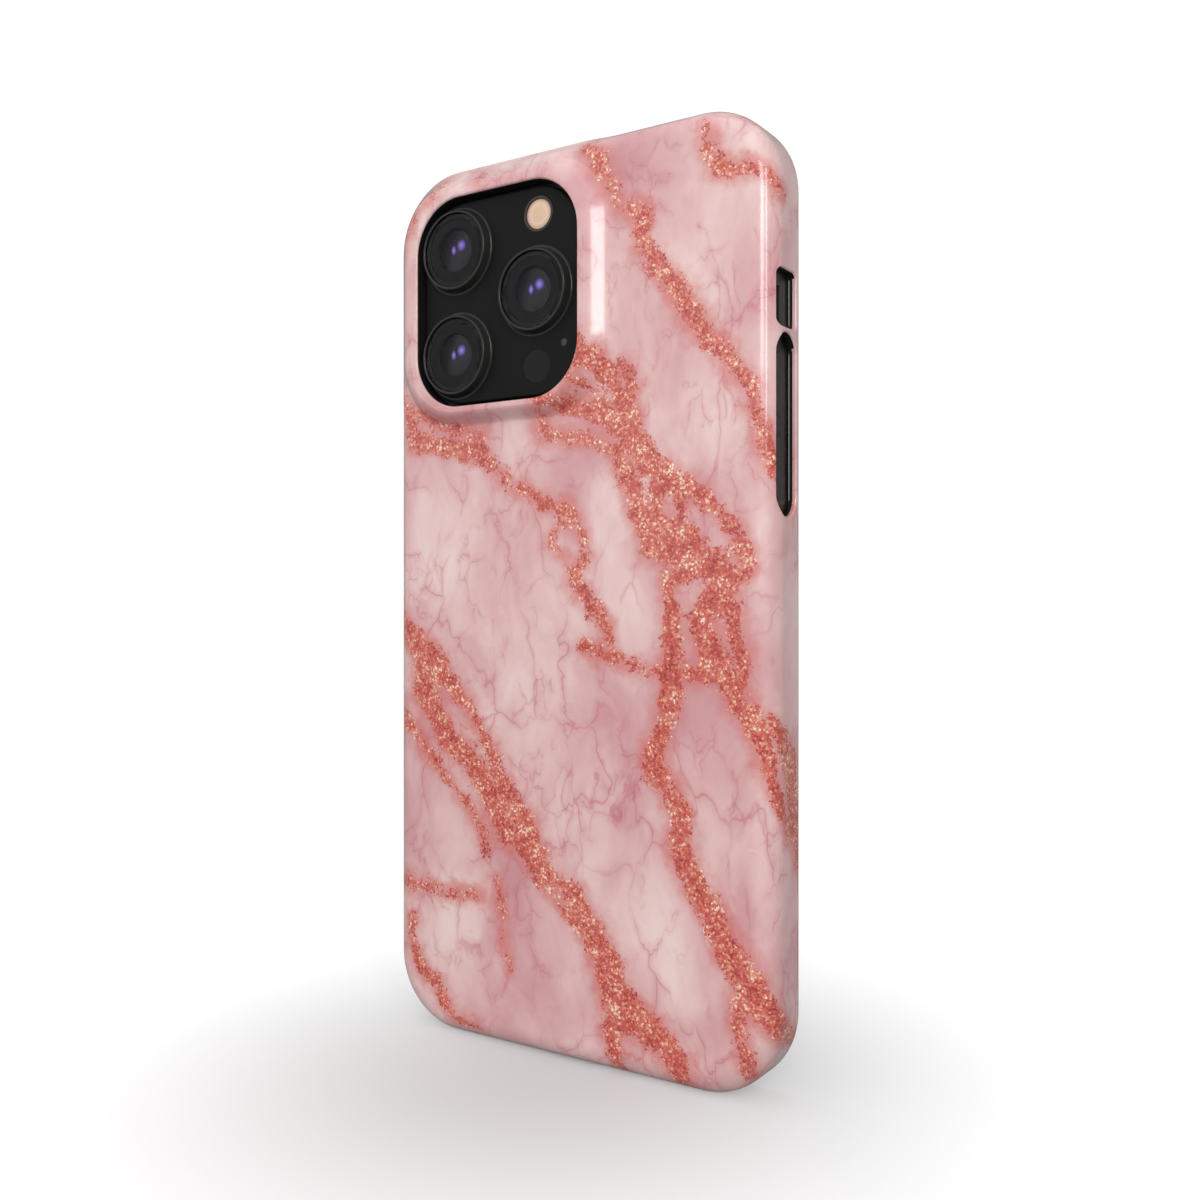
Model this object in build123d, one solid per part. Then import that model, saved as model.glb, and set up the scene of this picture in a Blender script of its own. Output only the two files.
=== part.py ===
from build123d import *
import math
import os

# Push-on phone case, upright on its bottom end, with the handset it is made for inside it.
# Millimetres, +Z up.  The printed back of the case looks towards -Y, the screen towards +Y.
# Parts are drawn with the outer back face of the case at y = 0 and moved to the row's origin,
# the middle of the bottom of the whole object, when they are written.

# ---- driving dimensions: case --------------------------------------------------------------------
CASE_W = 81.0               # across X
CASE_H = 163.7              # along Z
CASE_D = 10.4               # back face to front edge
CASE_R = 14.0               # corner radius seen from behind
BACK_EDGE_R = 4.0           # rounding between back and sides
FRONT_EDGE_R = 0.95         # rounding of the front edge
SIDE_WALL = 1.35
BACK_WALL = 1.4
INNER_EDGE_R = 1.2          # rounding inside, between back wall and side walls
FIT_GAP = 0.1               # phone to case, each side

# ---- driving dimensions: raised camera rim -------------------------------------------------------
RIM_H = 2.3                 # crest above the back face
WINDOW_W = 36.9
WINDOW_H = 39.0
WINDOW_R = 10.0
WINDOW_X = -14.45           # centre of the window
WINDOW_RISE = 55.9          # centre of the window above mid-height
RIM_CREST = 0.9             # flat of the crest on the long-flank sides
RIM_RUN_RIGHT = 5.6         # width of the S-shaped flank towards +X
RIM_RUN_DOWN = 2.7          # and towards the bottom
RIM_ROOT_INSET = 1.4        # where the steep flanks enter the rounded edge, from the side
RIM_ROOT_DEPTH = 1.0        # and how far in front of the back face
RIM_SHOULDER = 0.9          # extra flat of the crest on the steep-flank sides
RIM_DIP = 0.15              # how far the long flank has sunk below the back face at its foot
RIM_CORNER_GROW = (3.0, 4.0)    # growth of the corner radii from crest to foot, low left and right
RIM_BURIED_SHARE = 1.12     # the flank's last outline, inside the back wall
RIM_EDGE_R = 0.4            # rounding between crest and window wall

# ---- driving dimensions: side and bottom cut-outs ------------------------------------------------
SLOT_W = 6.8                # along Y, all three side cut-outs
SLOT_MID = 5.45             # their middle, in front of the back face
MUTE_SPAN = (44.7, 54.1)    # along Z, from mid-height
VOLUME_SPAN = (13.85, 43.9)
SIDE_SPAN = (12.0, 31.7)
MUTE_CORNER_R = 1.2
PORT_SLOT = (14.6, 6.4)     # along X and Y
SPEAKER_SLOT = (14.0, 3.2)
SPEAKER_SLOT_R = 1.5
SPEAKER_SLOT_X = 19.5
SLOT_REACH = 0.6            # how far each cut runs past the wall's inner face

# ---- driving dimensions: phone -------------------------------------------------------------------
PHONE_W = CASE_W - 2 * (SIDE_WALL + FIT_GAP)
PHONE_H = CASE_H - 2 * (SIDE_WALL + FIT_GAP)
PHONE_R = CASE_R - SIDE_WALL - FIT_GAP
PHONE_BACK = BACK_WALL + FIT_GAP
PHONE_T = 7.65
PHONE_FRONT = PHONE_BACK + PHONE_T
PHONE_MID = (PHONE_BACK + PHONE_FRONT) / 2
PHONE_BACK_EDGE_R = 1.15     # clears the rounding inside the case
PHONE_FRONT_EDGE_R = 0.2
BAND_WALL = 1.5
GLASS_INSET = 1.25          # edge of both glasses in from the phone's outline
GLASS_T = 0.8
SEAT = 0.05                 # small working gap between seated parts
EARPIECE = (11.0, 1.1)      # slot in the front glass, along X and Z
EARPIECE_Z = CASE_H - 5.6

# ---- driving dimensions: bottom edge of the phone ------------------------------------------------
PORT_W = 9.0
PORT_T = 3.2
PORT_DEEP = 8.0
PORT_METAL = 0.35
TONGUE = (6.4, 0.7)         # along X and Y
HOLE_R = 0.8
HOLE_PITCH = 2.6
HOLE_FIRST = 12.6
HOLE_COUNT = 5
SCREW_X = 7.2
SCREW_R = 0.75
SCREW_SOCKET_R = 0.35
MESH_T = 0.25

# ---- driving dimensions: insulating breaks in the metal band -------------------------------------
BREAK_W = 1.0
BREAK_DEPTH = 0.6
BREAK_Z = 19.0

# ---- driving dimensions: camera group ------------------------------------------------------------
PLATEAU_W = 35.7
PLATEAU_H = 37.8
PLATEAU_R = 9.4
PLATEAU_TOP = -0.35         # outer face of the raised plate
PLATEAU_EDGE_R = 0.5
LENS_PITCH_Z = 19.6
LENS_LEFT_X = -24.1
LENS_RIGHT_X = -6.1
RING_R = 7.8                # foot of a lens ring
RING_TOP_R = 7.35
RING_BORE_R = 6.9
RING_TOP = -2.05
RING_CREST_R = 0.18         # rounding of the crest's two edges
RING_FOOT_R = 8.15          # thin flare round the foot
RING_FOOT_T = 0.06
RING_FOOT_FILLET = 0.3
RING_NECK_R = 6.2
LENS_GLASS_TOP = -1.95
LENS_GLASS_T = 0.35
FLASH_XZ = (-5.6, 69.7)
FLASH_R = 3.25
LIDAR_XZ = (-6.0, 42.4)
LIDAR_R = 3.05
REAR_MIC_XZ = (0.0, 46.0)
REAR_MIC_R = 0.7
BARREL_R = 5.9
BARREL_TOP = LENS_GLASS_TOP + LENS_GLASS_T
BARREL_END = 6.4
WELL_R = 3.9                # mouth of the well in front of the lens elements
WELL_FLOOR = 2.6
FRONT_ELEMENT_TOP = -1.5
FRONT_ELEMENT_T = 0.9
FRONT_ELEMENT_DOME = 0.3
INNER_ELEMENT_R = 2.3
INNER_ELEMENT_TOP = 2.5
INNER_ELEMENT_T = 1.1
INNER_ELEMENT_DOME = 0.7
FLASH_BEZEL_WALL = 0.45
FLASH_LED = 2.4             # square
BRACKET_W = 34.0
BRACKET_H = 38.0
BRACKET_R = 6.0
BRACKET_T = 1.2

# ---- driving dimensions: buttons -----------------------------------------------------------------
BUTTON_W = 2.9
BUTTON_PROUD = 0.05
BUTTON_EDGE_R = 0.04
BUTTON_PLAY = 0.05
FLANGE = 0.35               # overhang of a key's flange behind the band
FLANGE_T = 0.4
PRESS = 0.25
VOLUME_UP_SPAN = (30.2, 41.0)
VOLUME_DOWN_SPAN = (16.6, 27.4)
SIDE_BUTTON_SPAN = (13.9, 29.8)
SWITCH_SPAN = (45.9, 51.5)
SWITCH_W = 1.9
SWITCH_THROW = 0.6          # each way along Y
SWITCH_CORNER_R = 0.35
SWITCH_FOOT = 0.3           # overhang of the slider's foot
STRIP_T = 0.3
STRIP_W = 2.6
DOME_R = 0.9

# ---- driving dimensions: insides of the phone, z above the band's bottom wall --------------------
STACK_GAP = 0.2
PLATE_BACK = 6.6
PLATE_T = 0.5
KEY_NOTCH = 3.0             # depth of the mid plate's cut-outs behind the keys
PANEL_INSET = 0.5
BATTERY_X = (-8.0, 33.0)
BATTERY_Z = (19.0, 101.0)
BATTERY_EDGE_R = 0.8
BOARD_X = (-34.5, -9.5)
BOARD_Y = (3.4, 5.9)
BOARD_Z = (19.0, 110.0)
SPEAKER_X = (11.5, 31.5)
SPEAKER_Z = (2.4, 17.0)
HAPTIC_X = (-31.0, -9.5)
HAPTIC_Z = (5.0, 17.0)
FRONT_CAMERA_R = 2.0
FRONT_CAMERA_X = 16.6
FRONT_CAMERA_DROP = 6.0     # below the earpiece slot
EARPIECE_SPEAKER_X = (4.0, 22.0)
EARPIECE_SPEAKER_DROP = (5.0, 0.8)
SWITCH_BASE_X = (34.9, 36.7)
SWITCH_BASE_W = 3.2

MID = CASE_H / 2
SIDE_X = PHONE_W / 2
PHONE_LOW = SIDE_WALL + FIT_GAP
INNER_HALF = SIDE_X - BAND_WALL
STACK_BACK = PHONE_BACK + GLASS_T + STACK_GAP
STACK_FRONT = PLATE_BACK - 0.3
PANEL_BACK = PLATE_BACK + PLATE_T + SEAT
PANEL_FRONT = PHONE_FRONT - GLASS_T - SEAT
LOW_Z = PHONE_LOW + BAND_WALL
HIGH_Z = CASE_H - LOW_Z
HOLE_XS = [side * (HOLE_FIRST + HOLE_PITCH * i) for side in (-1, 1) for i in range(HOLE_COUNT)]
ROW_SHIFT = -(CASE_D - RIM_H) / 2

nodes = {}


# ---- helpers -------------------------------------------------------------------------------------
def facing(y, x=0.0, z=0.0):
    """Plane at depth y that looks towards -Y, drawn with +X to the right and +Z up."""
    return Plane(origin=(x, y, z), x_dir=(1, 0, 0), z_dir=(0, -1, 0))


def slab(width, height, radius, near, far, x=0.0, z=MID):
    """Rounded rectangle seen from behind, between the depths near and far."""
    return extrude(facing(far, x, z) * RectangleRounded(width, height, radius), far - near)


def disc(radius, near, far, x, z):
    """Round disc on an axis along Y."""
    return extrude(facing(far, x, z) * Circle(radius), far - near)


def block(x, y, z):
    """Box from three (low, high) pairs."""
    size = (x[1] - x[0], y[1] - y[0], z[1] - z[0])
    centre = ((x[0] + x[1]) / 2, (y[0] + y[1]) / 2, (z[0] + z[1]) / 2)
    return Pos(*centre) * Box(*size)


def side_bar(span, width, x_in, x_out, corner=None, mid=PHONE_MID, grow=0.0):
    """Bar through a side wall: a rounded outline in YZ between two x positions."""
    length = span[1] - span[0] + 2 * grow
    wide = width + 2 * grow
    low, high = sorted((x_in, x_out))
    plane = Plane(origin=(low, mid, MID + (span[0] + span[1]) / 2), x_dir=(0, 1, 0), z_dir=(1, 0, 0))
    if corner is None:
        outline = SlotOverall(length, wide, rotation=90)
    else:
        outline = RectangleRounded(wide, length, corner)
    return extrude(plane * outline, high - low)


def turned(points, x, z):
    """Solid of revolution about an axis along Y: points are (radius, depth)."""
    outline = Polyline(*[(r, d, 0) for r, d in points], close=True)
    ring = revolve(make_face(outline), Axis.Y)
    return Pos(x, 0, z) * ring


def at_depth(shape, y, tolerance=0.01):
    """Edges that lie in the plane at depth y."""
    return shape.edges().filter_by_position(Axis.Y, y - tolerance, y + tolerance)


def corner_outline(y, left, right, low, high, radii):
    """Closed outline at depth y with its own radius at each corner.

    radii go low-left, low-right, high-right, high-left.
    """
    ll, lr, hr, hl = radii
    turn = math.cos(math.radians(45))
    arcs = (
        ((left, low + ll), (left + ll * (1 - turn), low + ll * (1 - turn)), (left + ll, low)),
        ((right - lr, low), (right - lr * (1 - turn), low + lr * (1 - turn)), (right, low + lr)),
        ((right, high - hr), (right - hr * (1 - turn), high - hr * (1 - turn)), (right - hr, high)),
        ((left + hl, high), (left + hl * (1 - turn), high - hl * (1 - turn)), (left, high - hl)),
    )
    points = [[Vector(px, y, pz) for px, pz in arc] for arc in arcs]
    edges = []
    for index, (start, middle, end) in enumerate(points):
        edges.append(Edge.make_three_point_arc(start, middle, end))
        edges.append(Edge.make_line(end, points[(index + 1) % 4][0]))
    return Wire(edges)


# ---- case ----------------------------------------------------------------------------------------
def camera_rim():
    """Raised collar round the camera window.

    Its flank is a long S towards +X and the bottom, and runs straight into the rounded edge of
    the case towards -X and the top.
    """
    right_window = WINDOW_X + WINDOW_W / 2
    low_window = MID + WINDOW_RISE - WINDOW_H / 2
    outlines = []
    for share in (0.0, 0.2, 0.35, 0.5, 0.65, 0.8, 1.0, RIM_BURIED_SHARE):
        height = 1 - share * share * (3 - 2 * share) if share < 1 else 0.0
        depth = RIM_DIP * share - RIM_H * height if share <= 1 else RIM_ROOT_DEPTH
        inset = RIM_ROOT_INSET + (RIM_ROOT_DEPTH - depth) + RIM_SHOULDER * height ** 8
        left = -CASE_W / 2 + inset
        high = CASE_H - inset
        right = right_window + RIM_CREST + RIM_RUN_RIGHT * share
        low = low_window - RIM_CREST - RIM_RUN_DOWN * share
        left_r = WINDOW_R + RIM_CREST + RIM_CORNER_GROW[0] * share
        right_r = WINDOW_R + RIM_CREST + RIM_CORNER_GROW[1] * share
        radii = (left_r, right_r, right_r, CASE_R - inset)
        outlines.append(corner_outline(depth, left, right, low, high, radii))
    return Solid.make_loft(outlines, ruled=False)


def case_shell():
    """One moulded piece: back, side walls, camera rim and every opening."""
    body = slab(CASE_W, CASE_H, CASE_R, 0, CASE_D)
    body = fillet(at_depth(body, 0), BACK_EDGE_R)
    body = fillet(at_depth(body, CASE_D), FRONT_EDGE_R)
    body = body + camera_rim()

    cavity = slab(
        CASE_W - 2 * SIDE_WALL, CASE_H - 2 * SIDE_WALL, CASE_R - SIDE_WALL, BACK_WALL, CASE_D + 1
    )
    body = body - fillet(at_depth(cavity, BACK_WALL), INNER_EDGE_R)
    window = slab(
        WINDOW_W, WINDOW_H, WINDOW_R, -RIM_H - 1, BACK_WALL + 1, WINDOW_X, MID + WINDOW_RISE
    )
    body = body - window
    rim_edges = at_depth(body, -RIM_H).filter_by(lambda edge: edge.geom_type != GeomType.BSPLINE)
    body = fillet(rim_edges, RIM_EDGE_R)

    wall_in = CASE_W / 2 - SIDE_WALL - SLOT_REACH
    wall_out = CASE_W / 2 + 1
    body = body - side_bar(MUTE_SPAN, SLOT_W, wall_in, wall_out, MUTE_CORNER_R, SLOT_MID)
    body = body - side_bar(VOLUME_SPAN, SLOT_W, wall_in, wall_out, None, SLOT_MID)
    body = body - side_bar(SIDE_SPAN, SLOT_W, -wall_in, -wall_out, None, SLOT_MID)
    return body - bottom_openings()


def bottom_openings():
    """Charging slot and two speaker slots through the bottom wall."""
    below = Plane(origin=(0, PHONE_MID, -1), x_dir=(1, 0, 0), z_dir=(0, 0, 1))
    reach = 1 + SIDE_WALL + SLOT_REACH
    cut = extrude(below * SlotOverall(*PORT_SLOT), reach)
    for side in (-1, 1):
        hole = Pos(side * SPEAKER_SLOT_X, 0, 0) * RectangleRounded(*SPEAKER_SLOT, SPEAKER_SLOT_R)
        cut = cut + extrude(below * hole, reach)
    return cut


nodes["case_shell"] = case_shell()


# ---- phone: enclosure ----------------------------------------------------------------------------
GLASS_W = PHONE_W - 2 * GLASS_INSET
GLASS_H = PHONE_H - 2 * GLASS_INSET
GLASS_R = PHONE_R - GLASS_INSET
CAMERA_Z = MID + WINDOW_RISE
LENSES = {
    "upper_left": (LENS_LEFT_X, CAMERA_Z + LENS_PITCH_Z / 2),
    "lower_left": (LENS_LEFT_X, CAMERA_Z - LENS_PITCH_Z / 2),
    "right": (LENS_RIGHT_X, CAMERA_Z),
}
FLASH = (FLASH_XZ[0], MID + FLASH_XZ[1])
LIDAR = (LIDAR_XZ[0], MID + LIDAR_XZ[1])
REAR_MIC = (REAR_MIC_XZ[0], MID + REAR_MIC_XZ[1])


def side_frame():
    """Flat-sided metal band with a shelf for each glass and the openings for the buttons."""
    band = slab(PHONE_W, PHONE_H, PHONE_R, PHONE_BACK, PHONE_FRONT)
    band = fillet(at_depth(band, PHONE_BACK), PHONE_BACK_EDGE_R)
    band = fillet(at_depth(band, PHONE_FRONT), PHONE_FRONT_EDGE_R)
    inset = BAND_WALL
    hollow = slab(
        PHONE_W - 2 * inset, PHONE_H - 2 * inset, PHONE_R - inset,
        PHONE_BACK - 1, PHONE_FRONT + 1,
    )
    band = band - hollow
    pocket = slab(GLASS_W, GLASS_H, GLASS_R, PHONE_BACK - 1, PHONE_BACK + GLASS_T)
    band = band - pocket
    band = band - slab(GLASS_W, GLASS_H, GLASS_R, PHONE_FRONT - GLASS_T, PHONE_FRONT + 1)

    through = (SIDE_X - BAND_WALL - 0.5, SIDE_X + 1)
    for span in (VOLUME_UP_SPAN, VOLUME_DOWN_SPAN):
        band = band - side_bar(span, BUTTON_W, *through, grow=BUTTON_PLAY)
    band = band - side_bar(SIDE_BUTTON_SPAN, BUTTON_W, -through[0], -through[1], grow=BUTTON_PLAY)
    throw_w = SWITCH_W + 2 * SWITCH_THROW
    band = band - side_bar(SWITCH_SPAN, throw_w, *through, corner=SWITCH_CORNER_R, grow=BUTTON_PLAY)

    low = Plane(origin=(0, PHONE_MID, PHONE_LOW - 1), x_dir=(1, 0, 0), z_dir=(0, 0, 1))
    band = band - extrude(low * SlotOverall(PORT_W, PORT_T), BAND_WALL + 2)
    for x in HOLE_XS:
        band = band - extrude(low * Pos(x, 0, 0) * Circle(HOLE_R), BAND_WALL + 2)
    for x in (-SCREW_X, SCREW_X):
        band = band - extrude(low * Pos(x, 0, 0) * Circle(SCREW_R), BAND_WALL + 2)
    return band - antenna_slots()


def antenna_slots():
    """Four narrow grooves across the long sides of the band."""
    cut = None
    for side in (-1, 1):
        for z in (BREAK_Z, CASE_H - BREAK_Z):
            x = sorted((side * (SIDE_X - BREAK_DEPTH), side * (SIDE_X + 1)))
            piece = block(x, (PHONE_BACK - 1, PHONE_FRONT + 1), (z - BREAK_W / 2, z + BREAK_W / 2))
            cut = piece if cut is None else cut + piece
    return cut


def antenna_breaks():
    """The moulded plastic that fills those grooves, flush with the band."""
    solid = slab(PHONE_W, PHONE_H, PHONE_R, PHONE_BACK, PHONE_FRONT)
    solid = fillet(at_depth(solid, PHONE_BACK), PHONE_BACK_EDGE_R)
    solid = fillet(at_depth(solid, PHONE_FRONT), PHONE_FRONT_EDGE_R)
    solid = solid - slab(
        PHONE_W - 2 * BAND_WALL, PHONE_H - 2 * BAND_WALL, PHONE_R - BAND_WALL,
        PHONE_BACK - 1, PHONE_FRONT + 1,
    )
    solid = solid - slab(GLASS_W, GLASS_H, GLASS_R, PHONE_BACK - 1, PHONE_BACK + GLASS_T)
    solid = solid - slab(GLASS_W, GLASS_H, GLASS_R, PHONE_FRONT - GLASS_T, PHONE_FRONT + 1)
    return solid & antenna_slots()


def camera_holes(near, far, lens_r):
    """Openings for three lenses, the flash, the depth sensor and the microphone."""
    cut = disc(FLASH_R, near, far, *FLASH) + disc(LIDAR_R, near, far, *LIDAR)
    cut = cut + disc(REAR_MIC_R, near, far, *REAR_MIC)
    for x, z in LENSES.values():
        cut = cut + disc(lens_r, near, far, x, z)
    return cut


def back_glass():
    panel = slab(GLASS_W - 2 * SEAT, GLASS_H - 2 * SEAT, GLASS_R - SEAT, PHONE_BACK, PHONE_BACK + GLASS_T)
    return panel - camera_holes(PHONE_BACK - 1, PHONE_BACK + GLASS_T + 1, RING_NECK_R + SEAT)


def camera_plateau():
    """Raised satin plate that carries the lenses, with a soft outer edge."""
    plate = slab(PLATEAU_W, PLATEAU_H, PLATEAU_R, PLATEAU_TOP, PHONE_BACK, WINDOW_X, CAMERA_Z)
    plate = fillet(at_depth(plate, PLATEAU_TOP), PLATEAU_EDGE_R)
    return plate - camera_holes(PLATEAU_TOP - 1, PHONE_BACK + 1, RING_NECK_R + SEAT)


def front_glass():
    panel = slab(
        GLASS_W - 2 * SEAT, GLASS_H - 2 * SEAT, GLASS_R - SEAT, PHONE_FRONT - GLASS_T, PHONE_FRONT
    )
    return panel - earpiece_slot(PHONE_FRONT - GLASS_T - 1, PHONE_FRONT + 1)


def earpiece_slot(near, far):
    return extrude(facing(far, 0, EARPIECE_Z) * SlotOverall(*EARPIECE), far - near)


nodes["side_frame"] = side_frame()
nodes["antenna_breaks"] = antenna_breaks()
nodes["back_glass"] = back_glass()
nodes["camera_plateau"] = camera_plateau()
nodes["front_glass"] = front_glass()
nodes["earpiece_mesh"] = earpiece_slot(PHONE_FRONT - 0.5, PHONE_FRONT - 0.25)


# ---- phone: camera group -------------------------------------------------------------------------
def lens_ring(x, z):
    """Polished ring round one lens: thin flare at the foot, rounded crest, neck into the phone."""
    neck_in = BARREL_R + SEAT
    ring = turned(
        (
            (neck_in, PHONE_BACK + GLASS_T),
            (RING_NECK_R, PHONE_BACK + GLASS_T),
            (RING_NECK_R, PLATEAU_TOP),
            (RING_FOOT_R, PLATEAU_TOP),
            (RING_FOOT_R, PLATEAU_TOP - RING_FOOT_T),
            (RING_R, PLATEAU_TOP - RING_FOOT_T),
            (RING_TOP_R, RING_TOP),
            (RING_BORE_R, RING_TOP),
            (RING_BORE_R, BARREL_TOP),
            (neck_in, BARREL_TOP),
        ),
        x, z,
    )
    ring = fillet(at_depth(ring, RING_TOP), RING_CREST_R)
    foot = at_depth(ring, PLATEAU_TOP - RING_FOOT_T)
    return fillet(foot.filter_by(lambda edge: edge.radius < RING_R + SEAT), RING_FOOT_FILLET)


def lens_glass(x, z):
    """Flat cover glass, a little below the crest of its ring."""
    window = disc(RING_BORE_R - SEAT, LENS_GLASS_TOP, BARREL_TOP, x, z)
    return fillet(at_depth(window, LENS_GLASS_TOP), 0.1)


def lens_barrel(x, z):
    """Camera barrel: a tube whose mouth narrows in steps to the lens elements."""
    return turned(
        (
            (0, BARREL_END),
            (BARREL_R, BARREL_END),
            (BARREL_R, BARREL_TOP + SEAT),
            (WELL_R + 0.3, BARREL_TOP + SEAT),
            (WELL_R, BARREL_TOP + 0.3),
            (WELL_R, FRONT_ELEMENT_TOP + FRONT_ELEMENT_T),
            (INNER_ELEMENT_R, FRONT_ELEMENT_TOP + FRONT_ELEMENT_T + 0.3),
            (INNER_ELEMENT_R, WELL_FLOOR + 1.0),
            (0, WELL_FLOOR + 1.0),
        ),
        x, z,
    )


def domed(radius, top, foot, rise, x, z):
    """Round lens element with a domed front: rise is the height of the dome."""
    sphere_r = (radius * radius + rise * rise) / (2 * rise)
    return disc(radius, top, foot, x, z) & (Pos(x, top + sphere_r, z) * Sphere(sphere_r))


for name, (lens_x, lens_z) in LENSES.items():
    nodes[f"lens_ring_{name}"] = lens_ring(lens_x, lens_z)
    nodes[f"lens_glass_{name}"] = lens_glass(lens_x, lens_z)
    nodes[f"lens_barrel_{name}"] = lens_barrel(lens_x, lens_z)
    nodes[f"front_element_{name}"] = domed(
        WELL_R - SEAT, FRONT_ELEMENT_TOP, FRONT_ELEMENT_TOP + FRONT_ELEMENT_T, FRONT_ELEMENT_DOME,
        lens_x, lens_z,
    )
    nodes[f"inner_element_{name}"] = domed(
        INNER_ELEMENT_R - SEAT, INNER_ELEMENT_TOP, INNER_ELEMENT_TOP + INNER_ELEMENT_T,
        INNER_ELEMENT_DOME, lens_x, lens_z,
    )

FLASH_BORE = FLASH_R - SEAT - FLASH_BEZEL_WALL
nodes["flash_bezel"] = turned(
    (
        (FLASH_BORE, PLATEAU_TOP),
        (FLASH_R - SEAT, PLATEAU_TOP),
        (FLASH_R - SEAT, PHONE_BACK + GLASS_T),
        (FLASH_BORE, PHONE_BACK + GLASS_T),
    ),
    *FLASH,
)
nodes["flash_lens"] = domed(FLASH_BORE - SEAT, PLATEAU_TOP + SEAT, PLATEAU_TOP + 1.1, 0.2, *FLASH)
nodes["flash_led"] = block(
    (FLASH[0] - FLASH_LED / 2, FLASH[0] + FLASH_LED / 2),
    (PLATEAU_TOP + 1.2, PHONE_BACK + GLASS_T),
    (FLASH[1] - FLASH_LED / 2, FLASH[1] + FLASH_LED / 2),
)
nodes["depth_sensor_window"] = disc(LIDAR_R - SEAT, PLATEAU_TOP + 0.03, PLATEAU_TOP + 0.7, *LIDAR)
nodes["depth_sensor"] = disc(LIDAR_R - 0.4, PLATEAU_TOP + 0.8, STACK_BACK + 1.4, *LIDAR)
nodes["rear_mic_mesh"] = disc(REAR_MIC_R - 0.02, PLATEAU_TOP + 0.08, PLATEAU_TOP + 0.3, *REAR_MIC)


def camera_bracket():
    """Plate inside the phone that holds the three barrels in line."""
    near, far = STACK_BACK, STACK_BACK + BRACKET_T
    plate = slab(BRACKET_W, BRACKET_H, BRACKET_R, near, far, WINDOW_X - 1.0, CAMERA_Z)
    for x, z in LENSES.values():
        plate = plate - disc(BARREL_R + SEAT, near - 1, far + 1, x, z)
    plate = plate - disc(LIDAR_R, near - 1, far + 1, *LIDAR)
    return plate - disc(FLASH_R, near - 1, far + 1, *FLASH)


nodes["camera_bracket"] = camera_bracket()


# ---- phone: insides ------------------------------------------------------------------------------
def mid_plate():
    """Sheet between battery and display, cut back round the keys and the charging port."""
    plate = slab(
        2 * INNER_HALF - 2 * SEAT, PHONE_H - 2 * BAND_WALL - 2 * SEAT, PHONE_R - BAND_WALL - SEAT,
        PLATE_BACK, PLATE_BACK + PLATE_T,
    )
    through = (PLATE_BACK - 1, PLATE_BACK + PLATE_T + 1)
    near_keys = (VOLUME_DOWN_SPAN[0], SWITCH_SPAN[1])
    for side, span in ((1, near_keys), (-1, SIDE_BUTTON_SPAN)):
        x = sorted((side * (INNER_HALF - KEY_NOTCH), side * (INNER_HALF + 1)))
        plate = plate - block(x, through, (MID + span[0] - 1, MID + span[1] + 1))
    return plate - block((-5.2, 5.2), through, (0, LOW_Z + 8.0))


nodes["mid_plate"] = mid_plate()
nodes["display_panel"] = slab(
    2 * (INNER_HALF - PANEL_INSET), PHONE_H - 2 * (BAND_WALL + PANEL_INSET),
    PHONE_R - BAND_WALL - PANEL_INSET, PANEL_BACK, PANEL_FRONT,
)


def inner_block(x, near, far, z):
    """Plain block inside the phone, with z measured from the band's bottom wall."""
    return block(x, (near, far), (LOW_Z + z[0], LOW_Z + z[1]))


nodes["battery"] = fillet(
    inner_block(BATTERY_X, STACK_BACK, PLATE_BACK - 0.15, BATTERY_Z).edges(), BATTERY_EDGE_R
)
nodes["logic_board"] = inner_block(BOARD_X, *BOARD_Y, BOARD_Z)
nodes["speaker_module"] = inner_block(SPEAKER_X, STACK_BACK, STACK_FRONT, SPEAKER_Z)
nodes["haptic_motor"] = inner_block(HAPTIC_X, STACK_BACK, STACK_FRONT, HAPTIC_Z)
nodes["front_camera"] = disc(
    FRONT_CAMERA_R, STACK_BACK + 1.5, PLATE_BACK - 0.1, FRONT_CAMERA_X, EARPIECE_Z - FRONT_CAMERA_DROP
)
nodes["earpiece_speaker"] = block(
    EARPIECE_SPEAKER_X,
    (STACK_BACK + 1.0, STACK_FRONT),
    (HIGH_Z - EARPIECE_SPEAKER_DROP[0], HIGH_Z - EARPIECE_SPEAKER_DROP[1]),
)


def charging_port():
    """Receptacle behind the bottom edge: a shell open downwards with a contact tongue."""
    plane = Plane(origin=(0, PHONE_MID, PHONE_LOW + 0.1), x_dir=(1, 0, 0), z_dir=(0, 0, 1))
    wide, thick = PORT_W - 2 * SEAT, PORT_T - 2 * SEAT
    shell = extrude(plane * SlotOverall(wide, thick), PORT_DEEP)
    mouth = extrude(plane * SlotOverall(wide - 2 * PORT_METAL, thick - 2 * PORT_METAL), PORT_DEEP - 1)
    tongue = block(
        (-TONGUE[0] / 2, TONGUE[0] / 2),
        (PHONE_MID - TONGUE[1] / 2, PHONE_MID + TONGUE[1] / 2),
        (PHONE_LOW + 1.2, PHONE_LOW + PORT_DEEP - 0.8),
    )
    return (shell - mouth) + tongue


def bottom_screws():
    """Two small screws in the bottom edge, each side of the charging port."""
    solids = []
    for x in (-SCREW_X, SCREW_X):
        head = Pos(x, PHONE_MID, PHONE_LOW + 0.9) * Cylinder(SCREW_R - 0.03, 1.6)
        recess = Pos(x, PHONE_MID, PHONE_LOW + 0.1) * Cylinder(SCREW_SOCKET_R, 0.8)
        solids.append(head - recess)
    return solids[0] + solids[1]


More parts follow.
